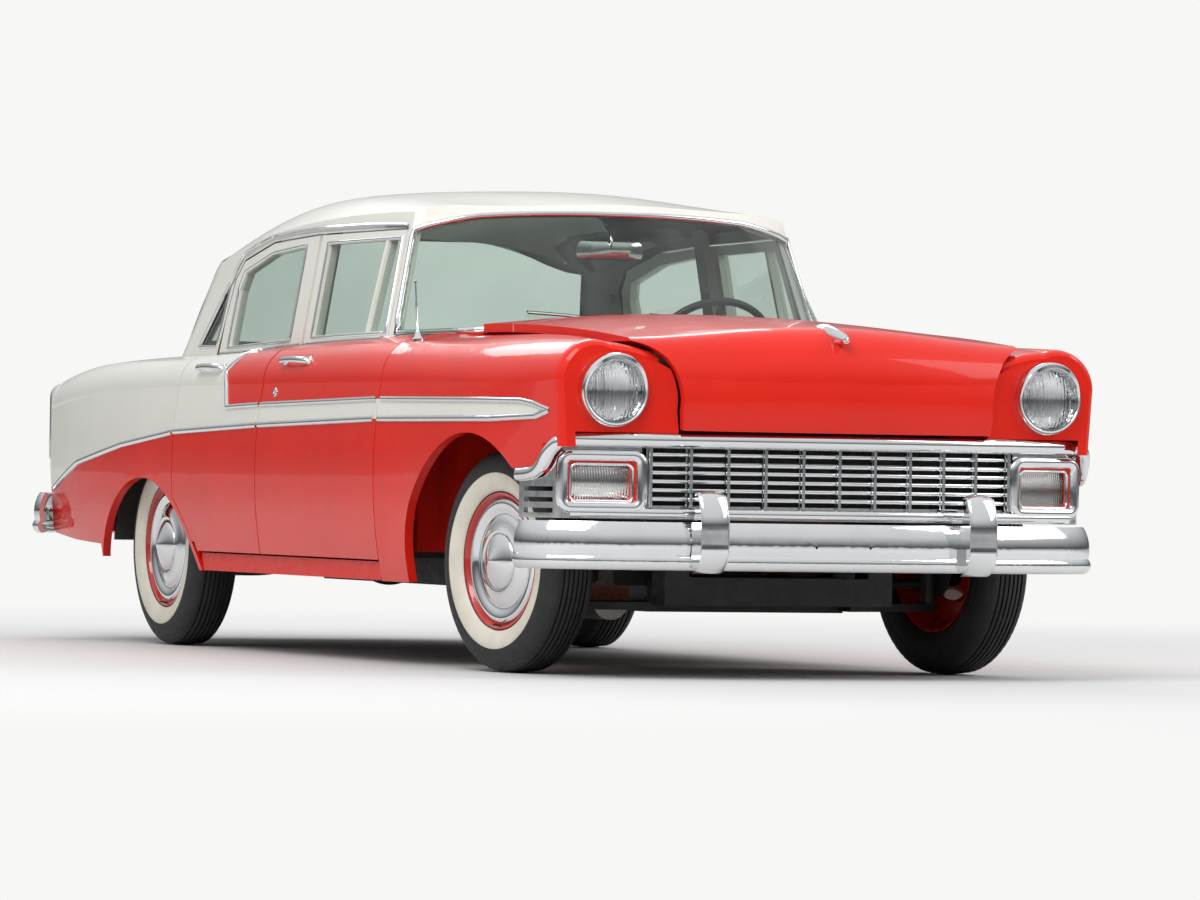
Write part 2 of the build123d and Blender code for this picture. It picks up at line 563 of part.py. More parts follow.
lenses = []
for side in (-1, 1):
    x = side * HEADLAMP[0]
    dome = Pos(x, -2358 + 240, HEADLAMP[1]) * Sphere(250)
    dome = dome & Solid.make_cylinder(BUCKET_RADIUS - 13 - SEAT, 60, Plane(origin=(x, -2372, HEADLAMP[1]), z_dir=(0, 1, 0)))
    lenses.append(dome & block((x - 200, x + 200), (-2500, -2330 - SEAT), (600, 1100)))
    low, high = sorted((side * (LAMP_X[0] + 22), side * (LAMP_X[1] - 26)))
    lenses.append(nose_band((low, high), (LAMP_Z[0] + 16, LAMP_Z[1] - 18), 24, 21))
write("front_lenses", Compound([shape for lens in lenses for shape in lens.solids()]))

# Bumpers: stations along the blade, as x, y and the way the blade faces in plan
FRONT_BLADE = [(0, -2458, 0), (450, -2436, 7), (800, -2352, 22), (912, -2268, 52), (940, -2160, 88)]
REAR_BLADE = [(0, 2470, 180), (450, 2462, 176), (780, 2425, 165), (905, 2340, 128), (930, 2230, 94)]
BLADE = [(-16, 470), (2, 424), (0, 372), (8, 346), (-8, 327)]
BLADE_WALL = 16.0


def blade(stations, lift):
    faces = []
    for side in (-1, 1):
        rows = stations[::-1] if side < 0 else stations[1:]
        for x, y, angle in rows:
            out = Vector(side * math.sin(math.radians(angle)), -math.cos(math.radians(angle)), 0)
            centre = Vector(side * x, y, lift)
            outer = [centre + out * o + Vector(0, 0, z) for o, z in BLADE]
            inner = [centre + out * (o - BLADE_WALL) + Vector(0, 0, z + (6 if z < 350 else -6 if z > 460 else 0))
                     for o, z in BLADE][::-1]
            edges = arcs(outer) + [Edge.make_line(outer[-1], inner[0])]
            edges += arcs(inner) + [Edge.make_line(inner[-1], outer[0])]
            faces.append(Face(Wire(edges)))
    return loft(faces)


GUARD_X = 442.0
RAIL_FRONT_Y = -2328.0
RAIL_REAR_Y = 2300.0
front_bumper = blade(FRONT_BLADE, 0)
guard = yz_prism([(-2440, 318), ((-2494, 350), (-HALF_LENGTH - 1, 420)), ((-2502, 500), (-2478, 552)), (-2452, 548),
                  ((-2462, 500), (-2440, 470))], -46, 46)
for side in (-1, 1):
    front_bumper = front_bumper + Pos(side * GUARD_X, 0, 0) * guard
    front_bumper = front_bumper + block(sorted((side * 380, side * 440)), (-2452, RAIL_FRONT_Y - SEAT), (350, 400))
PLATE_HOLE_PITCH = 178.0
PLATE_HOLE_RADIUS = 4.0
PLATE_HOLE_Z = 400.0


def plate_holes(y0, z):
    """The pair of holes that a number plate is bolted to."""
    ends = [(side * PLATE_HOLE_PITCH / 2, y0, z) for side in (-1, 1)]
    return join(*[rod(end, (end[0], y0 + 80, z), PLATE_HOLE_RADIUS) for end in ends])


front_bumper = front_bumper - plate_holes(-2500, PLATE_HOLE_Z)
front_bumper = front_bumper - block((-1000, 1000), (-2700, -HALF_LENGTH), (0, 900))
write("front_bumper", front_bumper)

REAR_LIFT = 36.0
rear_bumper = blade(REAR_BLADE, REAR_LIFT)
rear_guard = yz_prism([(2452, 340), ((2494, 366), (HALF_LENGTH + 1, 440)), ((2504, 520), (2486, 575)), (2466, 570),
                       ((2470, 520), (2452, 500))], -44, 44)
for side in (-1, 1):
    rear_bumper = rear_bumper + Pos(side * 480, 0, 0) * rear_guard
    rear_bumper = rear_bumper + block(sorted((side * 382, side * 440)), (RAIL_REAR_Y + SEAT, 2462), (380, 424))
rear_bumper = rear_bumper - plate_holes(2430, PLATE_HOLE_Z + REAR_LIFT)
rear_bumper = rear_bumper - block((-1000, 1000), (HALF_LENGTH, 2700), (0, 900))
write("rear_bumper", rear_bumper)

tail_parts = []
for side in (-1, 1):
    x = side * 800
    tail = block(sorted((side * 750, side * 850)), (2338 + SEAT, 2372), (600, 880))
    tail_parts.append(fillet(tail.edges().filter_by(Axis.Y), 40))
write("tail_lamps", Compound(tail_parts))

# Running gear
WHEEL_Z = TYRE_RADIUS
HUB_BORE = 23.0
RIM_RADIUS = 208.0
BEAD_RADIUS = RIM_RADIUS + SEAT
SPINDLE_RADIUS = HUB_BORE - 0.06


def tyre_form():
    half = TYRE_WIDTH / 2
    items = [(BEAD_RADIUS, -56), ((262, -half), (312, -half + 14)), ((332, -half + 26), (337, -40)), ((TYRE_RADIUS, 0), (337, 40)),
             ((332, half - 26), (312, half - 14)), ((262, half), (BEAD_RADIUS, 56))]
    face = outline(lambda p: (p[0], 0, p[1]), items)
    return Solid.revolve(face, 360, Axis.Z)


def wheel_form():
    items = [(0, 60), (0, 104), ((40, 90), (84, 70)), (98, 72), (108, 66), ((130, 52), (160, 50)), (186, 60),
             (190, 58), (196, 52), (RIM_RADIUS, 66), (RIM_RADIUS, 56), (200, 46), (190, -46), (RIM_RADIUS, -56), (RIM_RADIUS, -66), (204, -66),
             (184, -30), (184, 36), (150, 38), (116, 32), (116, -58), (108, -58), (108, 20), (62, 30), (62, -20),
             (HUB_BORE, -20), (HUB_BORE, 60)]
    face = outline(lambda p: (p[0], 0, p[1]), items)
    return Solid.revolve(face, 360, Axis.Z)


tyre = tyre_form()
wheel = wheel_form()
STEER = math.radians(STEER_AT_REST)
wheel_places = {}
for end, axle_y, track in (("front", FRONT_AXLE_Y, FRONT_TRACK), ("rear", REAR_AXLE_Y, REAR_TRACK)):
    for name, side in (("left", 1), ("right", -1)):
        out = Vector(side, 0, 0)
        centre = Vector(side * track / 2, axle_y, WHEEL_Z)
        if end == "front":
            kingpin = Vector(side * (track / 2 - KINGPIN_INSET), axle_y, WHEEL_Z)
            out = out.rotate(Axis.Z, STEER_AT_REST)
            centre = kingpin + out * KINGPIN_INSET
        plane = Plane(origin=centre, x_dir=(0, 0, 1), z_dir=out)
        wheel_places[end, name] = plane
        write(f"tyre_{end}_{name}", plane.location * tyre)
        write(f"wheel_{end}_{name}", plane.location * wheel)
        print(end, name, [round(v, 3) for v in (*centre, *out)])

KNUCKLE_HALF = 120.0
for name, side in (("left", 1), ("right", -1)):
    plane = wheel_places["front", name]
    centre, out = plane.origin, plane.z_dir
    kingpin = centre - out * KINGPIN_INSET
    up = Vector(0, 0, 1)
    upright = Solid.make_cylinder(24, 2 * KNUCKLE_HALF, Plane(origin=kingpin - up * KNUCKLE_HALF, z_dir=up))
    spindle = Solid.make_cylinder(SPINDLE_RADIUS, KINGPIN_INSET + 52, Plane(origin=kingpin, z_dir=out))
    flange = Solid.make_cylinder(105, 4, Plane(origin=centre - out * 66.5, z_dir=out))
    back = Vector(0, 1, 0).rotate(Axis.Z, STEER_AT_REST)
    arm = rod(kingpin - up * 60, kingpin - up * 60 + back * 150 - out * 30, 14)
    write(f"knuckle_{name}", join(upright, spindle, flange, arm))

arms = []
KINGPIN_X = FRONT_TRACK / 2 - KINGPIN_INSET
arms.append(block((-330, 330), (FRONT_AXLE_Y - 70, FRONT_AXLE_Y + 70), (190, 300)))
for side in (-1, 1):
    for z, spread, root_x in ((WHEEL_Z - KNUCKLE_HALF - SEAT - 24, 150, 320), (WHEEL_Z + KNUCKLE_HALF + SEAT, 110, 430)):
        plan = [(side * (KINGPIN_X + 20), FRONT_AXLE_Y - 24), (side * (KINGPIN_X + 20), FRONT_AXLE_Y + 24),
                (side * root_x, FRONT_AXLE_Y + spread), (side * root_x, FRONT_AXLE_Y - spread)]
        arms.append(xy_prism(plan, z, z + 24))
    arms.append(block(sorted((side * 380, side * 438)), (FRONT_AXLE_Y - 60, FRONT_AXLE_Y + 60), (290, 500)))
    arms.append(block(sorted((side * 300, side * 438)), (FRONT_AXLE_Y - 60, FRONT_AXLE_Y + 60), (270, 314)))
front_suspension = join(*arms)
write("front_suspension", front_suspension)

axle = rod((-690, REAR_AXLE_Y, WHEEL_Z), (690, REAR_AXLE_Y, WHEEL_Z), 38)
for side in (-1, 1):
    axle = axle + rod((side * 680, REAR_AXLE_Y, WHEEL_Z), (side * (REAR_TRACK / 2 + 52), REAR_AXLE_Y, WHEEL_Z), SPINDLE_RADIUS)
    axle = axle + rod((side * (REAR_TRACK / 2 - 70), REAR_AXLE_Y, WHEEL_Z), (side * (REAR_TRACK / 2 - 63), REAR_AXLE_Y, WHEEL_Z), 105)
    leaf = yz_prism([(640, 292), ((REAR_AXLE_Y, 238), (1840, 292)), (1840, 322), ((REAR_AXLE_Y, 270), (640, 322))],
                    *sorted((side * 520, side * 572)))
    axle = axle + leaf + block(sorted((side * 512, side * 580)), (REAR_AXLE_Y - 45, REAR_AXLE_Y + 45), (262, 330))
axle = axle + Pos(0, REAR_AXLE_Y, WHEEL_Z) * Sphere(130)
axle = axle + rod((0, -540, 290), (0, REAR_AXLE_Y, WHEEL_Z), 36)
write("rear_axle", axle)

FLOOR_Z = (335.0, 353.0)

# Ladder frame: side view of a rail as (y, low, high), and its half of the plan
RAIL = [(RAIL_FRONT_Y, 330, 420), (-1960, 330, 420), (-1700, 340, 440), (-1300, 240, FLOOR_Z[0] - SEAT), (700, 240, FLOOR_Z[0] - SEAT),
        (1000, 400, 490), (1480, 400, 490), (1700, 340, 420), (RAIL_REAR_Y, 340, 420)]
RAIL_X = (370, 446)
rail_outline = [(y, low) for y, low, high in RAIL] + [(y, high) for y, low, high in RAIL[::-1]]
frame = Part()
for side in (-1, 1):
    frame = frame + yz_prism(rail_outline, *sorted((side * RAIL_X[0], side * RAIL_X[1])))
    frame = frame + rod((side * 440, 640, 307), (side * 575, 640, 307), 16)
    frame = frame + rod((side * 440, 1840, 380), (side * 575, 1840, 380), 14) + block(sorted((side * 548, side * 575)), (1822, 1858), (322.4, 392))
EXHAUST_X = 300.0
CROSS_LOW_Z = 262.0
CROSS_MEMBERS = (-2240, -520, 640, 1500, 2250)
CROSS_HEIGHTS = ((335, 400), (CROSS_LOW_Z, 320), (CROSS_LOW_Z, 325), (410, 470), (345, 410))
for y, z in zip(CROSS_MEMBERS, CROSS_HEIGHTS):
    frame = frame + block((-380, 380), (y, y + 70), z)
frame = frame + block((-380, 380), (-2000, -1900), (215, 300)) + block((-380, -300), (-2000, -1900), (215, 350)) + block((300, 380), (-2000, -1900), (215, 350))
frame = frame - front_suspension - axle - rod((0, -1300, TUNNEL_Z), (0, 1300, 320), 70)
write("frame", frame)

# Floor, sills, wheel houses and trunk floor
floor_line = [(-1105, 335), (690, 335), (985, 505), (1500, 505), (1640, 446), (TAIL_PANEL_Y - SEAT, 446), (TAIL_PANEL_Y - SEAT, 464), (1645, 464),
              (1505, 523), (975, 523), (682, 353), (-1105, 353)]
floor = yz_prism(floor_line, -590, 590)
floor = floor + block((-792, 792), (-935, 690), FLOOR_Z) + block((-600, 600), (-1105, -930), FLOOR_Z)
house_shell = yz_disc(REAR_AXLE_Y, WHEEL_Z, 402, 580, 862) - yz_disc(REAR_AXLE_Y, WHEEL_Z, 386, 596, 900)
house_shell = house_shell & block((500, 900), (600, 2000), (350, 900))
house_shell = house_shell - block((780, 900), (600, DOOR_REAR_Y + 8), (300, 900))
sill = block((772, 884), (-933, 700), (264, 322)) + block((772, 792), (-933, 700), (264, 353))
sill = sill - yz_disc(arch_y, arch_z, arch_r + 40, 500, 1000)
floor = floor + house_shell + mirrored(house_shell) + sill + mirrored(sill)
AXLE_WAY = block((-610, 610), (REAR_AXLE_Y - 60, REAR_AXLE_Y + 60), (300, 440))
floor = floor - AXLE_WAY
floor = floor - yz_disc(REAR_AXLE_Y, WHEEL_Z, 386, 596, 900) - yz_disc(REAR_AXLE_Y, WHEEL_Z, 386, -900, -596)
floor = floor + (tunnel(TUNNEL_RADIUS) & block((-300, 300), (-1105, 700), (336, 500))) - TUNNEL_IN
for side in (-1, 1):
    floor = floor + block(sorted((side * 640, side * 710)), (75, 145), (350, 951.5))
write("floor_pan", floor)

structure = block((-560, 560), (-2262, -2240), (440, 730)) - block((-300, 300), (-2300, -2200), (460, 700))
for side in (-1, 1):
    wall = yz_prism([(-2240, 440), (-1300, 440), (-1115, 400), (-1155, 920), (-2240, 900)],
                    *sorted((side * 438, side * 450)))
    structure = structure + wall
structure = structure + block((-900, 900), (-2262, -2250), (612, 700))
structure = structure + block((-40, 40), (-2262, -2240), (690, 1020)) - Pos(0, 0, -SEAT) * hood
structure = structure - cowl - front_suspension - fender - mirrored(fender) - grille
write("front_structure", structure)
engine = block((-230, 230), (-1960, -1190), (350, 860)) + rod((0, -1190, 290), (0, -560, 290), 100)
for side in (-1, 1):
    engine = engine + block(sorted((side * 100, side * 160)), (FRONT_AXLE_Y - 30, FRONT_AXLE_Y + 30), (300 + SEAT, 352))
write("engine", engine)
exhaust = join(rod((EXHAUST_X, -1100, 215), (EXHAUST_X, 1000, 215), 24), rod((EXHAUST_X, 0, 190), (EXHAUST_X, 460, 190), 66))
for y in CROSS_MEMBERS[1:3]:
    exhaust = exhaust + block((EXHAUST_X - 8, EXHAUST_X + 8), (y + 25, y + 45), (215, CROSS_LOW_Z - SEAT))
write("exhaust", exhaust)
tank = block((-330, 330), (1590, 2180), (250, 420))
tank = tank + block((-RAIL_X[0] + SEAT, RAIL_X[0] - SEAT), (1640, 2120), (352, 358))
write("fuel_tank", tank)

seat = block((-630, 630), (-300, 230), (353.4, 590)) + yz_prism([(110, 560), (230, 560), (300, 940), (200, 940)], -630, 630)
write("front_seat", seat - tunnel(TUNNEL_RADIUS + 2))
write("rear_seat", block((-570, 570), (620, 1080), (524, 640)) + yz_prism([(960, 620), (1080, 620), (1150, 940), (1040, 940)], -570, 570))
dash = block((-680, 680), (-1040, -900), (820, 1000))
column = Vector(0, math.cos(math.radians(32)), math.sin(math.radians(32)))
WHEEL_HUB = Vector(330, -690, 985)
dash = dash + Solid.make_cylinder(24, 330, Plane(origin=WHEEL_HUB - column * 352, z_dir=column))
dash = dash - (HOUSE_CLEAR - glasshouse(PILLAR_WALL + SEAT))
write("dashboard", dash)
plane = Plane(origin=WHEEL_HUB, z_dir=column)
steering = plane.location * (Torus(215, 11) + Box(420, 26, 12) + Pos(0, 0, -8) * Cylinder(34, 24))
write("steering_wheel", steering)
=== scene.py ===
import bpy
import json
import math
from mathutils import Matrix, Vector
from mathutils.bvhtree import BVHTree


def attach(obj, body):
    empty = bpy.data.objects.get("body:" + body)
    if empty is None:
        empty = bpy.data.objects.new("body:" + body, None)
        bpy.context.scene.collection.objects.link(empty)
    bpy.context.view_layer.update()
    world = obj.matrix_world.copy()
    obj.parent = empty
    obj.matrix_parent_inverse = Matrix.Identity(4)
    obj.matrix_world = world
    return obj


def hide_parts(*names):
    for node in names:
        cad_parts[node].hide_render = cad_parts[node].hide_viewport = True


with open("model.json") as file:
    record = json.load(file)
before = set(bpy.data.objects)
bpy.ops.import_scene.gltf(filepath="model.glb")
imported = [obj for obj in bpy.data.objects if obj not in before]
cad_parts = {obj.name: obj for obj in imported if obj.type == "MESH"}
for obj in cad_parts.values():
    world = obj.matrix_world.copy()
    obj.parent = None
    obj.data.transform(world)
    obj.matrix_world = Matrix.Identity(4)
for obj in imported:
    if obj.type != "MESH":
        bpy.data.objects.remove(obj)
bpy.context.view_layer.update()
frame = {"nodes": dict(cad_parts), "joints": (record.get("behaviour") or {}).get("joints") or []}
nodes = frame["nodes"]
X, Y, Z = Vector((1, 0, 0)), Vector((0, 1, 0)), Vector((0, 0, 1))
SIDES = (("left", 1), ("right", -1))

# Materials


def add_node(tree, kind, inputs=(), **fields):
    """A new node whose inputs are links, where a socket is given, or values."""
    made = tree.nodes.new(kind)
    for key, value in fields.items():
        setattr(made, key, value)
    for key, value in dict(inputs).items():
        if isinstance(value, bpy.types.NodeSocket):
            tree.links.new(value, made.inputs[key])
        else:
            made.inputs[key].default_value = value
    return made


class Shader:
    """A principled material with helpers for its node tree."""

    def __init__(self, name, color, rough, **sockets):
        self.mat = bpy.data.materials.new(name)
        self.mat.use_nodes = True
        self.tree = self.mat.node_tree
        self.bsdf = self.tree.nodes["Principled BSDF"]
        self.bsdf.inputs["Base Color"].default_value = (*color, 1)
        self.bsdf.inputs["Roughness"].default_value = rough
        for key, value in sockets.items():
            self.bsdf.inputs[key.replace("_", " ")].default_value = value
        self.place = self.node("ShaderNodeTexCoord").outputs["Object"]

    def node(self, kind, inputs=(), **fields):
        return add_node(self.tree, kind, inputs, **fields)

    def math(self, operation, a, b=0.0, c=0.0):
        return self.node("ShaderNodeMath", {0: a, 1: b, 2: c}, operation=operation).outputs[0]

    def axes(self, vector):
        """The X, Y and Z sockets of a vector."""
        return self.node("ShaderNodeSeparateXYZ", {0: vector}).outputs

    def normal(self):
        return self.node("ShaderNodeNewGeometry").outputs["Normal"]

    def noise(self, scale, detail=3.0):
        inputs = {"Vector": self.place, "Scale": scale, "Detail": detail}
        return self.node("ShaderNodeTexNoise", inputs).outputs["Fac"]

    def wave(self, scale, distortion=0.0, axis="X"):
        inputs = {"Vector": self.place, "Scale": scale, "Distortion": distortion}
        return self.node("ShaderNodeTexWave", inputs, bands_direction=axis).outputs["Fac"]

    def span(self, value, low, high, start=0.35, end=0.65):
        inputs = {"Value": value, "From Min": start, "From Max": end, "To Min": low, "To Max": high}
        return self.node("ShaderNodeMapRange", inputs).outputs["Result"]

    def mix(self, factor, a, b):
        made = self.node("ShaderNodeMix", {0: factor}, data_type="RGBA")
        for index, value in ((6, a), (7, b)):
            if isinstance(value, bpy.types.NodeSocket):
                self.tree.links.new(value, made.inputs[index])
            else:
                made.inputs[index].default_value = (*value, 1)
        return made.outputs[2]

    def use(self, socket, value):
        self.tree.links.new(value, self.bsdf.inputs[socket])
        return self

    def bump(self, height, strength, distance):
        made = self.node("ShaderNodeBump", {"Height": height, "Strength": strength, "Distance": distance})
        return self.use("Normal", made.outputs[0])

    def surface(self, shader):
        """Ends the tree with another shader than the principled one."""
        self.tree.links.new(shader, self.tree.nodes["Material Output"].inputs["Surface"])
        return self.mat


def shade(color, factor):
    return tuple(min(1, c * factor) for c in color)


def worn(name, color, rough, spread=0.06, tone=0.12, scale=7, grain=None, **sockets):
    """A material whose tone and roughness wander; grain is (scale, strength, depth) of a fine bump."""
    s = Shader(name, color, rough, **sockets)
    slow = s.noise(scale, 5)
    s.use("Base Color", s.mix(s.span(slow, 0, 1), shade(color, 1 - tone), shade(color, 1 + tone * 0.5)))
    s.use("Roughness", s.span(s.noise(scale * 4, 4), rough - spread, rough + spread))
    if grain:
        s.bump(s.noise(grain[0], 2), grain[1], grain[2])
    return s.mat


RED = (0.73, 0.017, 0.007)
WHITE = (0.80, 0.79, 0.73)
BLACK = (0.022, 0.021, 0.020)
PAINT = {"Coat_Weight": 0.6, "Coat_Roughness": 0.03, "Coat_IOR": 1.38, "Specular_IOR_Level": 0.15}
red_paint = worn("red_paint", RED, 0.34, 0.03, 0.05, 3, (900, 0.03, 0.0004), **PAINT)
white_paint = worn("white_paint", WHITE, 0.36, 0.03, 0.03, 3, (900, 0.03, 0.0004), **PAINT)

# The paint's dividing lines on the body sides: (y, z) knots in metres
LOWER_STRIP = [(-2.285, 0.798), (-2.20, 0.780), (-1.88, 0.772), (-0.94, 0.770), (0.115, 0.748), (0.9, 0.724),
               (1.43, 0.678), (1.93, 0.613), (2.25, 0.525)]
UPPER_STRIP = [(-2.285, 0.798), (-2.24, 0.806), (-2.19, 0.817), (-2.10, 0.826), (-1.775, 0.829),
               (-0.905, 0.832), (0.133, 0.814), (0.413, 0.806)]
RETURN_STRIP = [(0.413, 0.806), (0.474, 0.925), (0.397, 0.992)]
BELT = [(-0.66, 1.026), (-0.2, 1.018), (0.12, 1.012), (0.29, 1.006), (0.52, 0.992), (0.87, 0.986),
        (1.28, 0.984)]
FRAME_FRONT = -0.70
# What a node curve covers along the car and upwards, in metres
CURVE_LONG, CURVE_HIGH = 5.0, 1.25
CABIN_CENTRE = (0.0, 0.25, 1.05)


def two_tone():
    """The body sides: white between the dividing lines and on the window frames, red elsewhere."""
    s = Shader("two_tone_paint", RED, 0.34, **PAINT)
    _, y, z = s.axes(s.place)

    def line(knots):
        along = s.math("MULTIPLY_ADD", y, 1 / CURVE_LONG, 0.5)
        curve = s.node("ShaderNodeFloatCurve", {"Value": along})
        points = curve.mapping.curves[0].points
        for index, (a, b) in enumerate(knots):
            at = (a / CURVE_LONG + 0.5, b / CURVE_HIGH)
            if index < 2:
                points[index].location = at
            else:
                points.new(*at)
        for point in points:
            point.handle_type = "VECTOR"
        curve.mapping.extend = "HORIZONTAL"
        curve.mapping.update()
        return s.math("MULTIPLY", curve.outputs[0], CURVE_HIGH)

    (y0, z0), (y1, z1), (y2, z2) = RETURN_STRIP
    rise = (y1 - y0) / (z1 - z0)
    fall = (y2 - y1) / (z2 - z1)
    low_edge = s.math("MULTIPLY_ADD", z, rise, y0 - z0 * rise)
    high_edge = s.math("MULTIPLY_ADD", z, fall, y1 - z1 * fall)
    behind = s.math("GREATER_THAN", y, s.math("MINIMUM", low_edge, high_edge))
    under = s.math("LESS_THAN", z, line(UPPER_STRIP))
    above = s.math("GREATER_THAN", z, line(LOWER_STRIP))
    wedge = s.math("MULTIPLY", under, s.math("GREATER_THAN", y, UPPER_STRIP[0][0]))
    mask = s.math("MULTIPLY", above, s.math("MAXIMUM", behind, wedge))
    frames = s.math("MULTIPLY", s.math("GREATER_THAN", z, line(BELT)), s.math("GREATER_THAN", y, FRAME_FRONT))
    mask = s.math("MAXIMUM", mask, frames)
    slow = s.span(s.noise(3, 4), 0, 1)
    s.use("Base Color", s.mix(mask, s.mix(slow, shade(RED, 0.95), shade(RED, 1.03)),
                              s.mix(slow, shade(WHITE, 0.98), shade(WHITE, 1.01))))
    s.use("Roughness", s.span(s.noise(12, 4), 0.31, 0.37))
    return s.bump(s.noise(900, 2), 0.03, 0.0004).mat


def roof_paint():
    """The roof: white outside; on the faces that look into the cabin a cloth lining, painted darker than its
    own grey as shade inside the cabin.
    """
    s = Shader("roof_paint", WHITE, 0.36, **PAINT)
    inward = s.node("ShaderNodeVectorMath", {0: CABIN_CENTRE, 1: s.place}, operation="SUBTRACT").outputs[0]
    facing = s.node("ShaderNodeVectorMath", {0: inward, 1: s.normal()}, operation="DOT_PRODUCT")
    lining = s.math("GREATER_THAN", facing.outputs["Value"], 0.12)
    slow = s.span(s.noise(3, 5), 0, 1)
    # Painted shade: the lining's cloth colour is darkened well below a grey headliner to stand for the dim
    # cabin.
    lining_cloth_and_shade = s.mix(s.noise(400), (0.075, 0.070, 0.064), (0.11, 0.104, 0.095))
    s.use("Base Color", s.mix(lining, s.mix(slow, shade(WHITE, 0.97), shade(WHITE, 1.015)), lining_cloth_and_shade))
    s.use("Roughness", s.math("ADD", s.span(s.noise(12, 4), 0.33, 0.39), s.math("MULTIPLY", lining, 0.45)))
    return s.bump(s.noise(900, 2), 0.03, 0.0004).mat


def floor_paint():
    """The floor pan: red where it shows as the sills, carpet above, black below."""
    s = Shader("floor_pan_paint", BLACK, 0.55)
    x, _, z = s.axes(s.place)
    across = s.math("ABSOLUTE", x)
    sill = s.math("MULTIPLY", s.math("GREATER_THAN", across, 0.80), s.math("LESS_THAN", z, 0.335))
    level = s.math("GREATER_THAN", s.axes(s.normal())[2], 0.5)
    pile = s.math("MULTIPLY", level, s.math("LESS_THAN", across, 0.78))
    under = s.mix(s.span(s.noise(11, 5), 0, 1), (0.016, 0.015, 0.014), (0.032, 0.030, 0.028))
    tufts = s.mix(s.noise(300), (0.03, 0.022, 0.02), (0.07, 0.05, 0.045))
    s.use("Base Color", s.mix(sill, s.mix(pile, under, tufts), RED))
    s.use("Roughness", s.math("SUBTRACT", s.span(s.noise(40), 0.6, 0.8), s.math("MULTIPLY", sill, 0.36)))
    return s.bump(s.noise(260), 0.25, 0.0006).mat


def structure_paint():
    """The front structure: red where it meets the fenders, black behind."""
    s = Shader("structure_paint", BLACK, 0.5)
    x, _, z = s.axes(s.place)
    outside = s.math("MULTIPLY", s.math("GREATER_THAN", s.math("ABSOLUTE", x), 0.62),
                     s.math("GREATER_THAN", z, 0.58))
    dust = s.mix(s.span(s.noise(11, 5), 0, 1), (0.014, 0.013, 0.012), (0.030, 0.028, 0.026))
    s.use("Base Color", s.mix(outside, dust, RED))
    s.use("Roughness", s.span(s.noise(40), 0.42, 0.6))
    return s.bump(s.noise(220), 0.2, 0.0006).mat


def cooling_fins():
    """The radiator's face: fine upright fins, with painted shade darkening the hollows between them."""
    s = Shader("radiator_fins", (0.012, 0.012, 0.012), 0.6)
    fins = s.wave(120, 0.3)
    # Painted shade: where the fin wave is low, between the fins, the colour goes darker.
    s.use("Base Color", s.mix(fins, (0.004, 0.004, 0.004), BLACK))
    s.use("Roughness", s.span(s.noise(50), 0.5, 0.7))
    return s.bump(fins, 0.5, 0.002).mat


side_paint = two_tone()
roof_white = roof_paint()
sill_paint = floor_paint()
structure_mat = structure_paint()
radiator = cooling_fins()
wheel_red = worn("wheel_red", (0.50, 0.010, 0.006), 0.3, 0.04, 0.06, 9, (600, 0.05, 0.0004), Coat_Weight=0.8)
chrome = worn("chrome", (0.78, 0.79, 0.80), 0.07, 0.025, 0.03, 9, (300, 0.02, 0.0003), Metallic=1.0)
steel = worn("steel", (0.45, 0.44, 0.42), 0.38, 0.08, 0.15, 12, (160, 0.2, 0.0006), Metallic=1.0)
chassis = worn("chassis_black", BLACK, 0.55, 0.1, 0.3, 11, (220, 0.25, 0.0008))
iron = worn("engine_enamel", (0.16, 0.035, 0.015), 0.5, 0.1, 0.25, 14, (180, 0.3, 0.001))
rubber = worn("seal_rubber", (0.018, 0.018, 0.018), 0.62, 0.06, 0.2, 20, (500, 0.2, 0.0004))
black_rubber = worn("tyre_rubber", (0.020, 0.020, 0.021), 0.62, 0.08, 0.2, 18, (700, 0.3, 0.0005))
whitewall = worn("whitewall", (0.72, 0.68, 0.58), 0.5, 0.06, 0.07, 16, (600, 0.15, 0.0004))
dark_plastic = worn("dark_plastic", (0.02, 0.02, 0.02), 0.3, 0.05, 0.1, 15, (400, 0.1, 0.0003))
ivory = worn("ivory_plastic", (0.62, 0.58, 0.47), 0.3, 0.05, 0.06, 15, (400, 0.1, 0.0003))
mirror_mat = worn("lamp_reflector", (0.9, 0.9, 0.9), 0.05, 0.02, 0.02, 10, None, Metallic=1.0)
lens_red = worn("red_lens", (0.45, 0.008, 0.008), 0.14, 0.03, 0.1, 30, (120, 0.3, 0.002), Coat_Weight=0.6)


def woven(name, color, dark):
    """Cloth with a fine woven bump and a paler thread."""
    s = Shader(name, color, 0.8, Sheen_Weight=0.25)
    waves = [s.wave(260, 0.4, axis) for axis in ("X", "Y", "Z")]
    weave = s.math("MULTIPLY", s.math("MULTIPLY", waves[0], waves[1]), waves[2])
    s.use("Base Color", s.mix(s.span(weave, 0, 1, 0.0, 0.4), dark, color))
    s.use("Roughness", s.span(s.noise(40), 0.72, 0.88))
    return s.bump(weave, 0.35, 0.0008).mat


cloth = woven("seat_cloth", (0.055, 0.05, 0.05), (0.015, 0.014, 0.014))
vinyl = worn("seat_vinyl", (0.42, 0.40, 0.34), 0.42, 0.06, 0.08, 22, (700, 0.35, 0.0006))
carpet = worn("carpet", (0.035, 0.03, 0.028), 0.95, 0.03, 0.3, 60, (500, 0.8, 0.002))


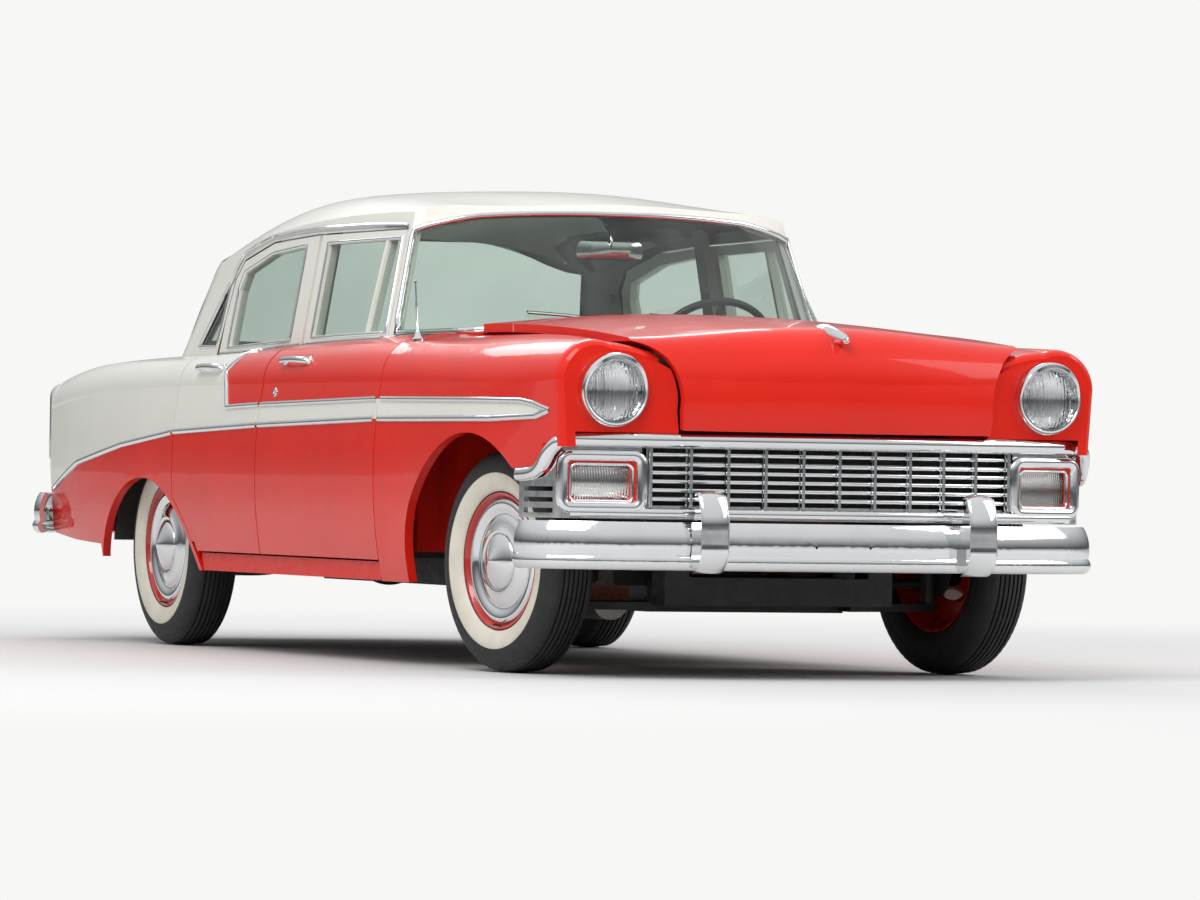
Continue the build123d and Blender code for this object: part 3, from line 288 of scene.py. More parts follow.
def clear_glass(name, tint, gloss=0.01):
    """Thin glass: what lies behind shows through the tint, and grazing light reflects."""
    s = Shader(name, tint, gloss)
    clear = s.node("ShaderNodeBsdfTransparent", {"Color": (*tint, 1)}).outputs[0]
    shine = s.node("ShaderNodeBsdfGlossy", {"Color": (1, 1, 1, 1), "Roughness": gloss}).outputs[0]
    facing = s.node("ShaderNodeLayerWeight", {"Blend": 0.5}).outputs["Facing"]
    edge = s.math("MULTIPLY", s.math("POWER", facing, 5.0), 0.8)
    smear = s.math("ADD", edge, s.span(s.noise(4, 3), 0.02, 0.045))
    return s.surface(s.node("ShaderNodeMixShader", {0: smear, 1: clear, 2: shine}).outputs[0])


window_glass = clear_glass("window_glass", (0.84, 0.885, 0.86))


def fluted(name, tint, scale):
    """Moulded lamp glass with upright flutes."""
    s = Shader(name, tint, 0.05, IOR=1.5, Transmission_Weight=1.0)
    s.use("Roughness", s.span(s.noise(60), 0.03, 0.10))
    return s.bump(s.wave(scale), 0.6, 0.004).mat


lamp_glass = fluted("lamp_glass", (0.95, 0.97, 0.97), 26)
park_glass = fluted("parking_lens", (0.95, 0.93, 0.88), 40)

# Mesh helpers


def placed(name, data):
    """A new object in the scene."""
    obj = bpy.data.objects.new(name, data)
    bpy.context.scene.collection.objects.link(obj)
    return obj


def piece(name, verts, faces, mats, body="body", marks=None, stands_for=()):
    """A mesh object that rides on a body; marks gives each face's material index."""
    mesh = bpy.data.meshes.new(name)
    mesh.from_pydata([tuple(v) for v in verts], [], faces)
    mats = mats if isinstance(mats, (list, tuple)) else [mats]
    for mat in mats:
        mesh.materials.append(mat)
    if marks:
        mesh.polygons.foreach_set("material_index", marks)
    mesh.validate()
    obj = placed(name, mesh)
    mesh.shade_smooth()
    mesh.set_sharp_from_angle(angle=math.radians(38))
    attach(obj, body)
    if stands_for:
        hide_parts(*stands_for)
    return obj


def frame_of(origin, out, up=Z):
    """A matrix whose Z axis is out, placed at origin."""
    out = out.normalized()
    side = up.cross(out).normalized()
    return Matrix.Translation(origin) @ Matrix((side, out.cross(side), out)).transposed().to_4x4()


def quads(rows, size, round_rows=False, round_size=False):
    """Faces between rows of size points; round joins the last row, or each row's last point, to the first."""
    return [(i * size + k, (i + 1) % rows * size + k, (i + 1) % rows * size + (k + 1) % size,
             i * size + (k + 1) % size)
            for i in range(rows if round_rows else rows - 1) for k in range(size if round_size else size - 1)]


def lathe(profile, place, segments=96, closed=False, shift=None):
    """Vertices and faces of a turned form: profile is (radius, height) along place's Z axis."""
    verts = []
    for i in range(segments):
        angle = 2 * math.pi * i / segments
        for k, (radius, height) in enumerate(profile):
            dr, dh = shift(angle, k, i) if shift else (0, 0)
            r = radius + dr
            verts.append(place @ Vector((r * math.cos(angle), r * math.sin(angle), height + dh)))
    return verts, quads(segments, len(profile), True, closed)


def spread(low, high, count):
    """Count values from low to high, evenly apart."""
    return [low + (high - low) * k / (count - 1) for k in range(count)]


def turn(count):
    """Count angles, evenly round a full turn."""
    return spread(0, 2 * math.pi, count + 1)[:-1]


def oval(half_wide, half_high, count):
    """A closed oval section of count points."""
    return [(half_wide * math.cos(a), half_high * math.sin(a)) for a in turn(count)]


def bands(size, count=1):
    """Faces between closed loops of size points that follow one another."""
    return [(a * size + k, a * size + (k + 1) % size, (a + 1) * size + (k + 1) % size, (a + 1) * size + k)
            for a in range(count) for k in range(size)]


def grid(rows):
    """Vertices and faces of a sheet given as rows of points."""
    return [p for row in rows for p in row], quads(len(rows), len(rows[0]))


def sweep(path, normals, section, closed=False):
    """Sweeps a closed section of (across, out) points along a path; normals may be one vector for all."""
    normals = [normals] * len(path) if isinstance(normals, Vector) else normals
    verts = []
    count, size = len(path), len(section)
    for i, (p, n) in enumerate(zip(path, normals)):
        a = path[(i - 1) % count] if closed or i else path[0]
        b = path[(i + 1) % count] if closed or i < count - 1 else path[-1]
        along = (b - a).normalized()
        across = along.cross(n).normalized()
        up = across.cross(along).normalized()
        verts += [p + across * s + up * t for s, t in section]
    faces = quads(count, size, closed, True)
    if not closed:
        faces += [tuple(range(size))[::-1], tuple((count - 1) * size + k for k in range(size))]
    return verts, faces


def half_round(width, height, steps=6, sink=0.0015):
    """Section of a raised strip, sunk a little into what it lies on."""
    arch = [(-width / 2 * math.cos(math.pi * k / steps), height * math.sin(math.pi * k / steps))
            for k in range(steps + 1)]
    return arch + [(width / 2, -sink), (-width / 2, -sink)]


def tube_path(points, radius):
    """Vertices and faces of a round rod along points."""
    around = Vector((0.31, 0.17, 0.93)).normalized()
    return sweep([Vector(p) for p in points], around, oval(radius, radius, 10))


def smooth_path(points, steps=8):
    """A Catmull-Rom path through points."""
    points = [Vector(p) for p in points]
    ends = [points[0] * 2 - points[1]] + points + [points[-1] * 2 - points[-2]]
    path = []
    for a, b, c, d in zip(ends, ends[1:], ends[2:], ends[3:]):
        for k in range(steps):
            t = k / steps
            path.append(0.5 * (2 * b + (c - a) * t + (2 * a - 5 * b + 4 * c - d) * t * t
                               + (3 * b - a - 3 * c + d) * t ** 3))
    return path + [points[-1]]


def rounded(centre, half, radius, steps=6):
    """A closed (across, up) loop with rounded corners."""
    loop = []
    for corner, (sx, sz) in enumerate(((1, 1), (-1, 1), (-1, -1), (1, -1))):
        for k in range(steps + 1):
            angle = math.pi / 2 * (corner + k / steps)
            loop.append((centre[0] + sx * (half[0] - radius) + radius * math.cos(angle),
                         centre[1] + sz * (half[1] - radius) + radius * math.sin(angle)))
    return loop


trees = {}


def surface(name):
    """The search tree of a node's mesh, made once."""
    if name not in trees:
        mesh = nodes[name].data
        trees[name] = BVHTree.FromPolygons([v.co.copy() for v in mesh.vertices],
                                           [tuple(p.vertices) for p in mesh.polygons])
    return trees[name]


def hit(names, origin, towards):
    """First point and outward normal where a ray meets one of the nodes."""
    best = None
    for name in names:
        place, normal, _, reach = surface(name).ray_cast(Vector(origin), Vector(towards))
        if place and (best is None or reach < best[2]):
            best = (place, normal if normal.dot(Vector(towards)) < 0 else -normal, reach)
    return best


# Where rays towards the car's sides and ends start
BESIDE, BEYOND = 1.5, 3.2


def side_hit(names, side, y, z):
    return hit(names, (side * BESIDE, y, z), (-side, 0, 0))


def end_hit(names, end, x, z):
    """What a ray along the car meets, from the front (end -1) or the rear (end 1)."""
    return hit(names, (x, end * BEYOND, z), (0, -end, 0))


def resample(knots, step):
    """Points every step metres along a broken (y, z) line, its corners kept."""
    out = []
    for (a, b), (c, d) in zip(knots, knots[1:]):
        n = max(1, round(math.hypot(c - a, d - b) / step))
        out += [(a + (c - a) * k / n, b + (d - b) * k / n) for k in range(n)]
    return out + [knots[-1]]


def side_path(names, points, side, inner, lift=0.0):
    """Points and normals where rays from the side meet the nodes, further out than inner."""
    path, normals = [], []
    for y, z in points:
        found = side_hit(names, side, y, z)
        if found and abs(found[0].x) > inner:
            path.append(found[0] + found[1] * lift)
            normals.append(found[1])
    return path, normals


def strip(name, path, normals, section, mat=chrome, body="body", closed=False):
    if len(path) > 1:
        verts, faces = sweep(path, normals, section, closed)
        piece(name, verts, faces, mat, body)


# Finish of the CAD nodes
FINISH = {
    side_paint: [f"{panel}_{side}" for panel in ("front_fender", "front_door", "rear_door", "quarter")
                 for side, _ in SIDES],
    roof_white: ["roof"],
    white_paint: ["rear_deck", "trunk_lid"],
    chrome: ["grille", "front_bumper", "rear_bumper"],
    window_glass: ["windshield", "rear_glass", "front_door_glass_left", "front_door_glass_right",
                   "rear_door_glass_left", "rear_door_glass_right"],
    structure_mat: ["front_structure"],
    chassis: ["frame", "front_suspension", "knuckle_left", "knuckle_right", "rear_axle", "fuel_tank"],
    sill_paint: ["floor_pan"],
    iron: ["engine"],
    steel: ["exhaust"],
    lens_red: ["tail_lamps"],
    dark_plastic: ["steering_wheel"],
    red_paint: ["hood", "cowl", "dashboard"],
}
for mat, names in FINISH.items():
    for name in names:
        mesh = nodes[name].data
        mesh.materials.clear()
        mesh.materials.append(mat)

# Wheels
TYRE_OUTER = [(0.209, 0.056), (0.2125, 0.066), (0.218, 0.072), (0.226, 0.077), (0.240, 0.0825),
              (0.254, 0.0855), (0.266, 0.086), (0.2685, 0.0848), (0.271, 0.0855), (0.284, 0.0838),
              (0.298, 0.080), (0.310, 0.0752), (0.319, 0.070), (0.3265, 0.0645), (0.3325, 0.0585),
              (0.3360, 0.0520)]
GROOVES = (0.040, 0.024, 0.008)
GROOVE_DEPTH, GROOVE_TOP, GROOVE_FLOOR = 0.007, 0.0035, 0.0025
CROWN, CROWN_FALL = 0.3395, 2.1
TYRE_STEPS = 288
WHITE_BAND = (0.2145, 0.2675)
COVER = [(0.0005, 0.1045), (0.004, 0.1040), (0.010, 0.1020), (0.024, 0.0960), (0.044, 0.0885),
         (0.064, 0.0805), (0.078, 0.0740), (0.083, 0.0705), (0.0845, 0.0675), (0.088, 0.0672),
         (0.091, 0.0690), (0.095, 0.0690), (0.098, 0.0665), (0.104, 0.0640), (0.120, 0.0590),
         (0.138, 0.0548), (0.142, 0.0515), (0.146, 0.0512), (0.152, 0.0540), (0.160, 0.0575),
         (0.168, 0.0600), (0.177, 0.0610), (0.184, 0.0595), (0.189, 0.0560), (0.191, 0.0505), (0.190, 0.046)]
FLANGE = [(0.196, 0.0545), (0.199, 0.0615), (0.202, 0.0655), (0.2055, 0.0668), (0.2085, 0.0655),
          (0.2095, 0.062), (0.2085, 0.0585), (0.203, 0.056), (0.200, 0.048)]
RIM = [(0.190, 0.049), (0.193, 0.050), *FLANGE, (0.188, 0.030), (0.188, -0.030),
       *((r, -h) for r, h in FLANGE[::-1]), (0.184, -0.034), (0.184, 0.026), (0.150, 0.034), (0.112, 0.026),
       (0.108, 0.012), (0.066, 0.010), (0.066, 0.016), (0.108, 0.018), (0.118, 0.032), (0.150, 0.040),
       (0.184, 0.036)]


def tread_profile():
    """The tyre's (radius, height) section from its outer bead to its inner one, with grooves in the tread."""
    outer = list(TYRE_OUTER)
    for w in GROOVES:
        top = CROWN - CROWN_FALL * w * w
        low = top - GROOVE_DEPTH
        outer += [(top, w + GROOVE_TOP), (low, w + GROOVE_FLOOR), (low, w - GROOVE_FLOOR),
                  (top, w - GROOVE_TOP)]
    return outer + [(r, -w) for r, w in outer[::-1]]


def build_wheel(end, side_name):
    """Tyre, rim, cover and valve of one wheel, on its joint's axis."""
    joint = next(j for j in frame["joints"] if j["child"] == f"wheel_{end}_{side_name}")
    place = frame_of(Vector(joint["pos_m"]), Vector(joint["axis"]))
    tag = f"{end}_{side_name}"
    body = f"wheel_{tag}"
    profile = tread_profile()
    shoulder = {k for k, (r, w) in enumerate(profile) if 0.325 < r < 0.3365 and abs(w) > 0.045}

    def notch(angle, k, i):
        return (-0.0035, 0) if k in shoulder and i % 4 == 0 else (0, 0)

    verts, faces = lathe(profile, place, TYRE_STEPS, shift=notch)
    ring = [1 if WHITE_BAND[0] < (a[0] + b[0]) / 2 < WHITE_BAND[1] and a[1] > 0 else 0
            for a, b in zip(profile, profile[1:])]
    marks = ring * TYRE_STEPS
    piece(f"tyre_skin_{tag}", verts, faces, [black_rubber, whitewall], body, marks=marks,
          stands_for=[f"tyre_{tag}"])
    rim = piece(f"rim_{tag}", *lathe(RIM, place, 128, closed=True), wheel_red, body,
                stands_for=[f"wheel_{tag}"])
    cover = piece(f"wheel_cover_{tag}", *lathe(COVER, place, 128), chrome, body)
    stem = place @ Vector((0.0, -0.197, 0.060))
    tip = stem + place.to_3x3() @ Vector((0, 0.004, 0.026))
    piece(f"valve_{tag}", *tube_path([stem, tip], 0.0032), rubber, body)


for end in ("front", "rear"):
    for side_name, _ in SIDES:
        build_wheel(end, side_name)

# Bright strips on the sides
STRIP_STEP = 0.02
# Panel, the body it rides on where that isn't its own, and the y where strips on it start and end
PANELS = (("front_fender", "body", -2.33, -0.947), ("front_door", None, -0.938, 0.103),
          ("rear_door", None, 0.112, 0.903), ("quarter", "body", 0.912, 2.4))


def side_strip(name, knots, width, height):
    """A strip along a (y, z) line on both sides, cut where the panels part."""
    for side_name, side in SIDES:
        for panel, body, y0, y1 in PANELS:
            run = [(y, z) for y, z in resample(knots, STRIP_STEP) if y0 <= y <= y1]
            path, normals = side_path([f"{panel}_{side_name}"], run, side, 0.55)
            strip(f"{name}_{panel}_{side_name}", path, normals, half_round(width, height),
                  body=body or f"{panel}_{side_name}")


side_strip("lower_strip", LOWER_STRIP, 0.021, 0.0085)
side_strip("upper_strip", UPPER_STRIP, 0.018, 0.008)
side_strip("return_strip", RETURN_STRIP, 0.018, 0.008)
side_strip("belt_strip", BELT, 0.016, 0.007)

# Lamps
HEADLAMP = Vector((0.717, -2.352, 0.857))
for side_name, side in SIDES:
    centre = Vector((side * HEADLAMP.x, HEADLAMP.y, HEADLAMP.z))
    place = frame_of(centre, -Y)
    ring = [(0.0880, 0.008), (0.0895, 0.024), (0.0925, 0.033), (0.0965, 0.037), (0.1010, 0.036),
            (0.1050, 0.031), (0.1080, 0.020), (0.1090, -0.004), (0.1060, -0.006), (0.1040, 0.006),
            (0.0910, 0.004)]

    def visor(angle, k, i):
        above = max(0.0, math.sin(angle)) ** 1.5
        return (0.006 * above if 4 <= k <= 7 else 0.0, 0.026 * above if 1 <= k <= 7 else 0.0)

    piece(f"headlamp_bezel_{side_name}", *lathe(ring, place, 96, closed=True, shift=visor), chrome)
    bowl = [(0.001, -0.060), (0.030, -0.056), (0.060, -0.040), (0.078, -0.018), (0.0885, 0.010)]
    piece(f"headlamp_bowl_{side_name}", *lathe(bowl, place, 64), mirror_mat)
    lens = [(0.0885, 0.012), (0.0870, 0.019), (0.075, 0.030), (0.050, 0.0385), (0.025, 0.0425),
            (0.0005, 0.0435)]
    glass = piece(f"headlamp_glass_{side_name}", *lathe(lens, place, 64), lamp_glass,
                  stands_for=["front_lenses"])

# The grille's bowed front: its middle, and the radius seen from above
NOSE_Y, NOSE_RADIUS = -2.421, 2.950


def nose_y(x):
    return NOSE_Y + NOSE_RADIUS - math.sqrt(NOSE_RADIUS ** 2 - x * x)


def on_nose(points, back):
    """(x, z) points laid on the grille's bow, or some way behind it."""
    return [Vector((x, nose_y(x) + back, z)) for x, z in points]


for side_name, side in SIDES:
    rows = [[Vector((side * x, nose_y(x) + 0.026 - 0.010 * math.sin(math.pi * j / 8), 0.528 + 0.112 * j / 8))
             for j in range(9)] for x in spread(0.640, 0.822, 17)]
    piece(f"parking_lens_{side_name}", *grid(rows), park_glass)

# Front of the car


def front_path(names, points):
    """Where rays from the front meet the named nodes."""
    found = [end_hit(names, -1, x, z) for x, z in points]
    return [f[0] for f in found if f and f[0].y < -1.9]


GRILLE_BARS = (0.671, 0.641, 0.617, 0.591, 0.565, 0.538)
# Name, z, width, height and reach to each side
GRILLE_RAILS = (("top", 0.7125, 0.044, 0.017, 0.842), ("low", 0.495, 0.033, 0.013, 0.825))
GRILLE_UPRIGHTS = (-0.591, -0.470, -0.355, -0.238, -0.118, 0.0, 0.118, 0.238, 0.355, 0.470, 0.591)
for index, z in enumerate(GRILLE_BARS):
    path = front_path(["grille"], [(x, z) for x in spread(-0.588, 0.588, 49)])
    strip(f"grille_bar_{index}", path, -Y, half_round(0.013, 0.006))
for index, x in enumerate(GRILLE_UPRIGHTS):
    path = on_nose([(x, z) for z in spread(0.513, 0.689, 12)], -0.003)
    strip(f"grille_upright_{index}", path, -Y, half_round(0.012, 0.006, sink=0.004))
for name, z, width, height, reach in GRILLE_RAILS:
    path = front_path(["grille"], [(x, z) for x in spread(-reach, reach, 65)])
    strip(f"grille_{name}_bar", path, -Y, half_round(width, height, 10))
for side_name, side in SIDES:
    loop = rounded((side * 0.7315, 0.584), (0.092, 0.056), 0.018)
    path = on_nose(loop, 0.010)
    strip(f"parking_frame_{side_name}", path, -Y, half_round(0.011, 0.009, sink=0.012), closed=True)

# Hood ornament
ornament_place = frame_of(Vector((0, -2.290, 1.0475)), Vector((0, -1, -0.16)))
shape = [(0.001, 0.172), (0.010, 0.168), (0.017, 0.150), (0.022, 0.118), (0.026, 0.080), (0.028, 0.040),
         (0.0275, 0.010), (0.020, -0.030), (0.010, -0.065), (0.001, -0.085)]
piece("hood_ornament", *lathe(shape, ornament_place, 40), chrome, "hood")
for side_name, side in SIDES:
    wing = [Vector((side * (0.020 + 0.075 * t), -2.372 + 0.110 * t, 1.030 + 0.010 * t))
            for t in spread(0, 1, 10)]
    strip(f"ornament_wing_{side_name}", wing, Z, oval(0.016, 0.0035, 12), body="hood")

# Glasshouse trim


def bordered(name, glass, others, centre, along):
    """A strip round the edge of a pane, found by rays that stop seeing it, and a seal out to the panels.

    The rays run along the car from round the (y, z) centre.
    """

    def seen(angle, radius):
        found = (None, 9.0, None)
        start = Vector((radius * math.cos(angle), centre[0], centre[1] + radius * 0.5 * math.sin(angle)))
        for node in [glass] + others:
            got = surface(node).ray_cast(start, along)
            if got[0] and got[3] < found[1]:
                found = (node, got[3], got[0])
        return found

    path, seal = [], []
    for angle in turn(112):
        near, far = 0.0, 0.95
        for _ in range(15):
            middle = (near + far) / 2
            if seen(angle, middle)[0] == glass:
                near = middle
            else:
                far = middle
        node, _, spot = seen(angle, near)
        if node != glass:
            continue
        path.append(spot - along * 0.003)
        edge = spot
        for step in range(1, 26):
            node, _, beyond = seen(angle, near + step * 0.005)
            if node and node != glass and abs(beyond.y - spot.y) < 0.12:
                edge = beyond
                break
        seal.append(edge - along * 0.0012)
    strip(name, path, -along, half_round(0.020, 0.007, 6, 0.004), closed=True)
    piece(f"{name}_seal", path + seal, bands(len(path)), rubber)


bordered("windshield_trim", "windshield", ["roof", "cowl"], (-2.0, 1.22), Y)
bordered("rear_glass_trim", "rear_glass", ["roof", "rear_deck"], (2.4, 1.20), -Y)

DRIP = [(-0.640, 1.352), (-0.600, 1.372), (-0.540, 1.388), (-0.30, 1.392), (0.11, 1.389), (0.32, 1.382),
        (0.52, 1.370), (0.70, 1.340), (0.81, 1.314), (0.86, 1.268), (0.885, 1.225)]
WINDOWS = {"front_door": [(-0.570, 1.054), (-0.516, 1.343), (0.018, 1.336), (0.018, 1.043)],
           "rear_door": [(0.224, 1.034), (0.217, 1.332), (0.519, 1.312), (0.768, 1.254), (0.798, 1.199),
                         (0.798, 1.015)],
           "roof": [(0.936, 1.022), (0.914, 1.214), (0.930, 1.222), (1.106, 1.022)]}
for side_name, side in SIDES:
    path, normals = side_path(["roof"], resample(DRIP, STRIP_STEP), side, 0.45, 0.001)
    strip(f"drip_rail_{side_name}", path, normals, [(-0.006, -0.004), (0.006, -0.004), (0.009, 0.010),
                                                    (0.004, 0.013), (0.001, 0.005), (-0.006, 0.003)])
    for panel, loop in WINDOWS.items():
        node = "roof" if panel == "roof" else f"{panel}_{side_name}"
        middle = (sum(y for y, z in loop) / len(loop), sum(z for y, z in loop) / len(loop))
        wide = [(y + 0.010 * (1 if y > middle[0] else -1), z + 0.009 * (1 if z > middle[1] else -1))
                for y, z in loop]
        path, _ = side_path([node], resample(wide + wide[:1], STRIP_STEP), side, 0.45)
        steady = Vector((side, 0, 0.18)).normalized()
        strip(f"window_reveal_{panel}_{side_name}", path[:-1], steady, half_round(0.011, 0.005, 6, 0.003),
              body="body" if panel == "roof" else node, closed=True)

# Door handles, each by its share of the length and how far it stands out there
HANDLE_ARCH = ((0.0, -0.004), (0.03, 0.016), (0.14, 0.026), (0.40, 0.030), (0.70, 0.030), (0.92, 0.028),
               (0.99, 0.016), (1.0, -0.004))
for side_name, side in SIDES:
    for panel, y0, y1, z in (("front_door", -0.270, -0.050, 0.957), ("rear_door", 0.515, 0.725, 0.937)):
        node = f"{panel}_{side_name}"
        pins = []
        for t, out in HANDLE_ARCH:
            y = y0 + (y1 - y0) * t
            found = side_hit([node], side, y, z + 0.004 * math.sin(math.pi * t))
            if found:
                pins.append(found[0] + Vector((side, 0, 0)) * out)
        outward = Vector((side, 0, 0.2)).normalized()
        strip(f"handle_{node}", smooth_path(pins, 6), outward, oval(0.0105, 0.0055, 14), body=node)
        for tag, y, radius in (("front", y0 + 0.004, 0.015), ("rear", y1 - 0.004, 0.018)):
            found = side_hit([node], side, y, z)
            if found:
                rose = [(0.001, 0.0075), (radius * 0.5, 0.007), (radius * 0.85, 0.005), (radius, 0.001),
                        (radius, -0.004)]
                piece(f"handle_rose_{tag}_{node}", *lathe(rose, frame_of(*found[:2]), 32), chrome, node)
    door = f"front_door_{side_name}"
    found = side_hit([door], side, -0.020, 0.853)
    if found:
        lock = [(0.001, 0.004), (0.004, 0.004), (0.005, 0.0055), (0.012, 0.005), (0.015, 0.0015),
                (0.015, -0.004)]
        piece(f"door_lock_{side_name}", *lathe(lock, frame_of(*found[:2]), 32), chrome, door)

# Aerial, wipers, mirror
base = hit(["front_fender_right", "cowl"], (-0.800, -1.001, 1.6), (0, 0, -1))[0]
mast = [(0.019, -0.004), (0.019, 0.004), (0.012, 0.012), (0.008, 0.026), (0.0035, 0.032), (0.0032, 0.120),
        (0.0022, 0.121), (0.0022, 0.178), (0.0045, 0.180), (0.0045, 0.186), (0.001, 0.189)]
piece("aerial", *lathe(mast, frame_of(base, Vector((-0.04, 0.06, 1)), X), 24), chrome)
for side_name, side in SIDES:
    pins = [hit(["windshield"], (side * 0.20 + x, -1.146, z), (0, 1, 0)) for x, z in
            ((0.16, 1.060), (0.08, 1.076), (0.0, 1.092), (-0.10, 1.104), (-0.22, 1.112))]
    pins = [p[0] - Y * 0.014 for p in pins if p]
    if len(pins) > 2:
        path = smooth_path(pins, 6)
        strip(f"wiper_arm_{side_name}", path, -Y, [(0.004, 0), (0, 0.004), (-0.004, 0), (0, -0.003)])
        blade = [p + Y * 0.010 + Z * 0.004 for p in path]
        section = [(0.003, 0), (0, 0.006), (-0.003, 0), (0, -0.007)]
        strip(f"wiper_blade_{side_name}", blade, -Y, section, rubber)

MIRROR_Z = 1.324
loop = rounded((0.0, MIRROR_Z), (0.115, 0.030), 0.022, 8)
# The mirror's three rings, back to front: share of the width, share of the height, y
rings = ((0.6, 0.6, -0.654), (1.0, 1.0, -0.644), (0.97, 0.92, -0.630))
verts = [Vector((x * wide, y, MIRROR_Z + (z - MIRROR_Z) * high)) for wide, high, y in rings for x, z in loop]
n = len(loop)
faces = bands(n, 2) + [tuple(range(n))[::-1], tuple(range(2 * n, 3 * n))]
piece("cabin_mirror", verts, faces, [chrome, mirror_mat], marks=[0] * (2 * n + 1) + [1])
stem = smooth_path([(0, -0.650, 1.330), (0, -0.656, 1.352), (0, -0.640, 1.380), (0, -0.600, 1.402)], 5)
piece("mirror_stem", *tube_path(stem, 0.005), chrome)

# Seats


def cushion(name, place, size, crown, seat, channels=0.105, side_pull=0.012, corner=0.045, bolster=0.16):
    """A crowned closed pad: rounded edges, sides that pull in, and sewn channels over its top."""
    wide, deep, high = size
    counts = (max(8, round(wide / 0.018)), max(8, round(deep / 0.022)), 8)
    verts, faces, marks, seen = [], [], [], {}

    def shaped(p):
        half = Vector((wide / 2, deep / 2, high / 2))
        q = Vector((p[0] * half.x, p[1] * half.y, p[2] * half.z))
        inner = Vector([max(-h + corner, min(h - corner, c)) if h > corner else 0.0 for c, h in zip(q, half)])
        away = q - inner
        if away.length > 1e-9 and sum(abs(a) > 1e-6 for a in away) > 1:
            q = inner + away.normalized() * corner
        u, v = q.x / half.x, q.y / half.y
        lift = (1 - u ** 4) * (1 - v * v)
        top = max(0.0, q.z / half.z)
        q.z += crown * lift * top
        q.x *= 1 - side_pull / half.x * (1 - v * v) * (1 - abs(q.z) / half.z * 0.5)
        q.y *= 1 - side_pull / half.y * (1 - u * u) * 0.6
        if top > 0.5 and abs(u) < 1 - bolster:
            lane = (q.x / channels) % 1.0
            q.z -= 0.009 * math.exp(-(min(lane, 1 - lane) * channels / 0.007) ** 2) * (1 - v ** 6)
        seam = abs(abs(u) - (1 - bolster))
        if top > 0.5:
            q.z -= 0.010 * math.exp(-(seam * half.x / 0.008) ** 2)
        return place @ q

    def corner_of(p):
        key = tuple(round(c, 5) for c in p)
        if key not in seen:
            seen[key] = len(verts)
            verts.append(shaped(p))
        return seen[key]

    for axis in range(3):
        b, c = [a for a in range(3) if a != axis]
        for end in (-1.0, 1.0):
            for i in range(counts[b]):
                for j in range(counts[c]):
                    quad = []
                    for di, dj in ((0, 0), (1, 0), (1, 1), (0, 1)):
                        p = [0.0, 0.0, 0.0]
                        p[axis] = end
                        p[b] = -1 + 2 * (i + di) / counts[b]
                        p[c] = -1 + 2 * (j + dj) / counts[c]
                        quad.append(corner_of(p))
                    flip = (end > 0) == (axis == 1)
                    faces.append(tuple(quad[::-1] if flip else quad))
                    u = -1 + 2 * (i + 0.5) / counts[b] if b == 0 else end
                    marks.append(0 if axis == 2 and end > 0 and abs(u) < 1 - bolster else 1)
    obj = piece(name, verts, faces, [cloth, vinyl], marks=marks, stands_for=[seat])
    welt = rounded((0, 0), (wide / 2 - 0.012, deep / 2 - 0.012), 0.05)
    piping = [place @ Vector((x, y, high / 2 - 0.006)) for x, y in welt]
    piece(f"{name}_piping", *sweep(piping, place.to_3x3() @ Z, oval(0.0035, 0.0035, 8), closed=True), vinyl)


def slanted(low, high):
    """Place of a backrest from its low and high (y, z) middle: its Z looks forward, its X across."""
    along = Vector((0, high[0] - low[0], high[1] - low[1])).normalized()
    out = X.cross(along)
    out = out if out.y < 0 else -out
    return Matrix.Translation((0, (low[0] + high[0]) / 2, (low[1] + high[1]) / 2)) @ Matrix(
        (X, along, out)).transposed().to_4x4()


cushion("front_cushion", Matrix.Translation((0, -0.045, 0.512)), (1.24, 0.50, 0.135), 0.022, "front_seat")
cushion("front_back", slanted((0.185, 0.600), (0.248, 0.925)), (1.24, 0.335, 0.105), 0.016, "front_seat")
cushion("rear_cushion", Matrix.Translation((0, 0.845, 0.585)), (1.13, 0.45, 0.115), 0.020, "rear_seat")
cushion("rear_back", slanted((1.020, 0.655), (1.092, 0.925)), (1.13, 0.285, 0.100), 0.016, "rear_seat")
for side_name, side in SIDES:
    loop = rounded((side * 0.395, -0.045), (0.210, 0.225), 0.04)
    verts = [Vector((x, y, z)) for z in (0.3545, 0.452) for x, y in loop]
    n = len(loop)
    faces = bands(n) + [tuple(range(n))[::-1], tuple(range(n, 2 * n))]
    piece(f"seat_base_{side_name}", verts, faces, carpet, stands_for=["front_seat"])

# Door linings and fittings
LINING_LOW, LINING_HIGH = 0.430, 0.900
LINING_ACROSS, LINING_RISE = 40, 20


def pleated(j):
    """Whether a row of the lining lies in its pleated field."""
    return 0.25 < j / LINING_RISE < 0.7


def door_lining(node, side, y0, y1):
    """A lining that hugs the door's inside at its edges and swells between them."""
    rows = []
    for i, y in enumerate(spread(y0, y1, LINING_ACROSS + 1)):
        row = []
        for j, z in enumerate(spread(LINING_LOW, LINING_HIGH, LINING_RISE + 1)):
            found = hit([node], (0, y, z), (side, 0, 0))
            depth = abs(found[0].x) if found and abs(found[0].x) < 0.83 else 0.796
            if min(i, LINING_ACROSS - i, j, LINING_RISE - j) == 0:
                depth += 0.002
            else:
                depth -= 0.006 + 0.0025 * math.sin(math.pi * 10 * i / LINING_ACROSS) ** 2 * pleated(j)
            row.append(Vector((side * depth, y, z)))
        rows.append(row)
    marks = [0 if pleated(j) else 1 for i in range(LINING_ACROSS) for j in range(LINING_RISE)]
    piece(f"door_lining_{node}", *grid(rows), [vinyl, wheel_red], node, marks=marks)


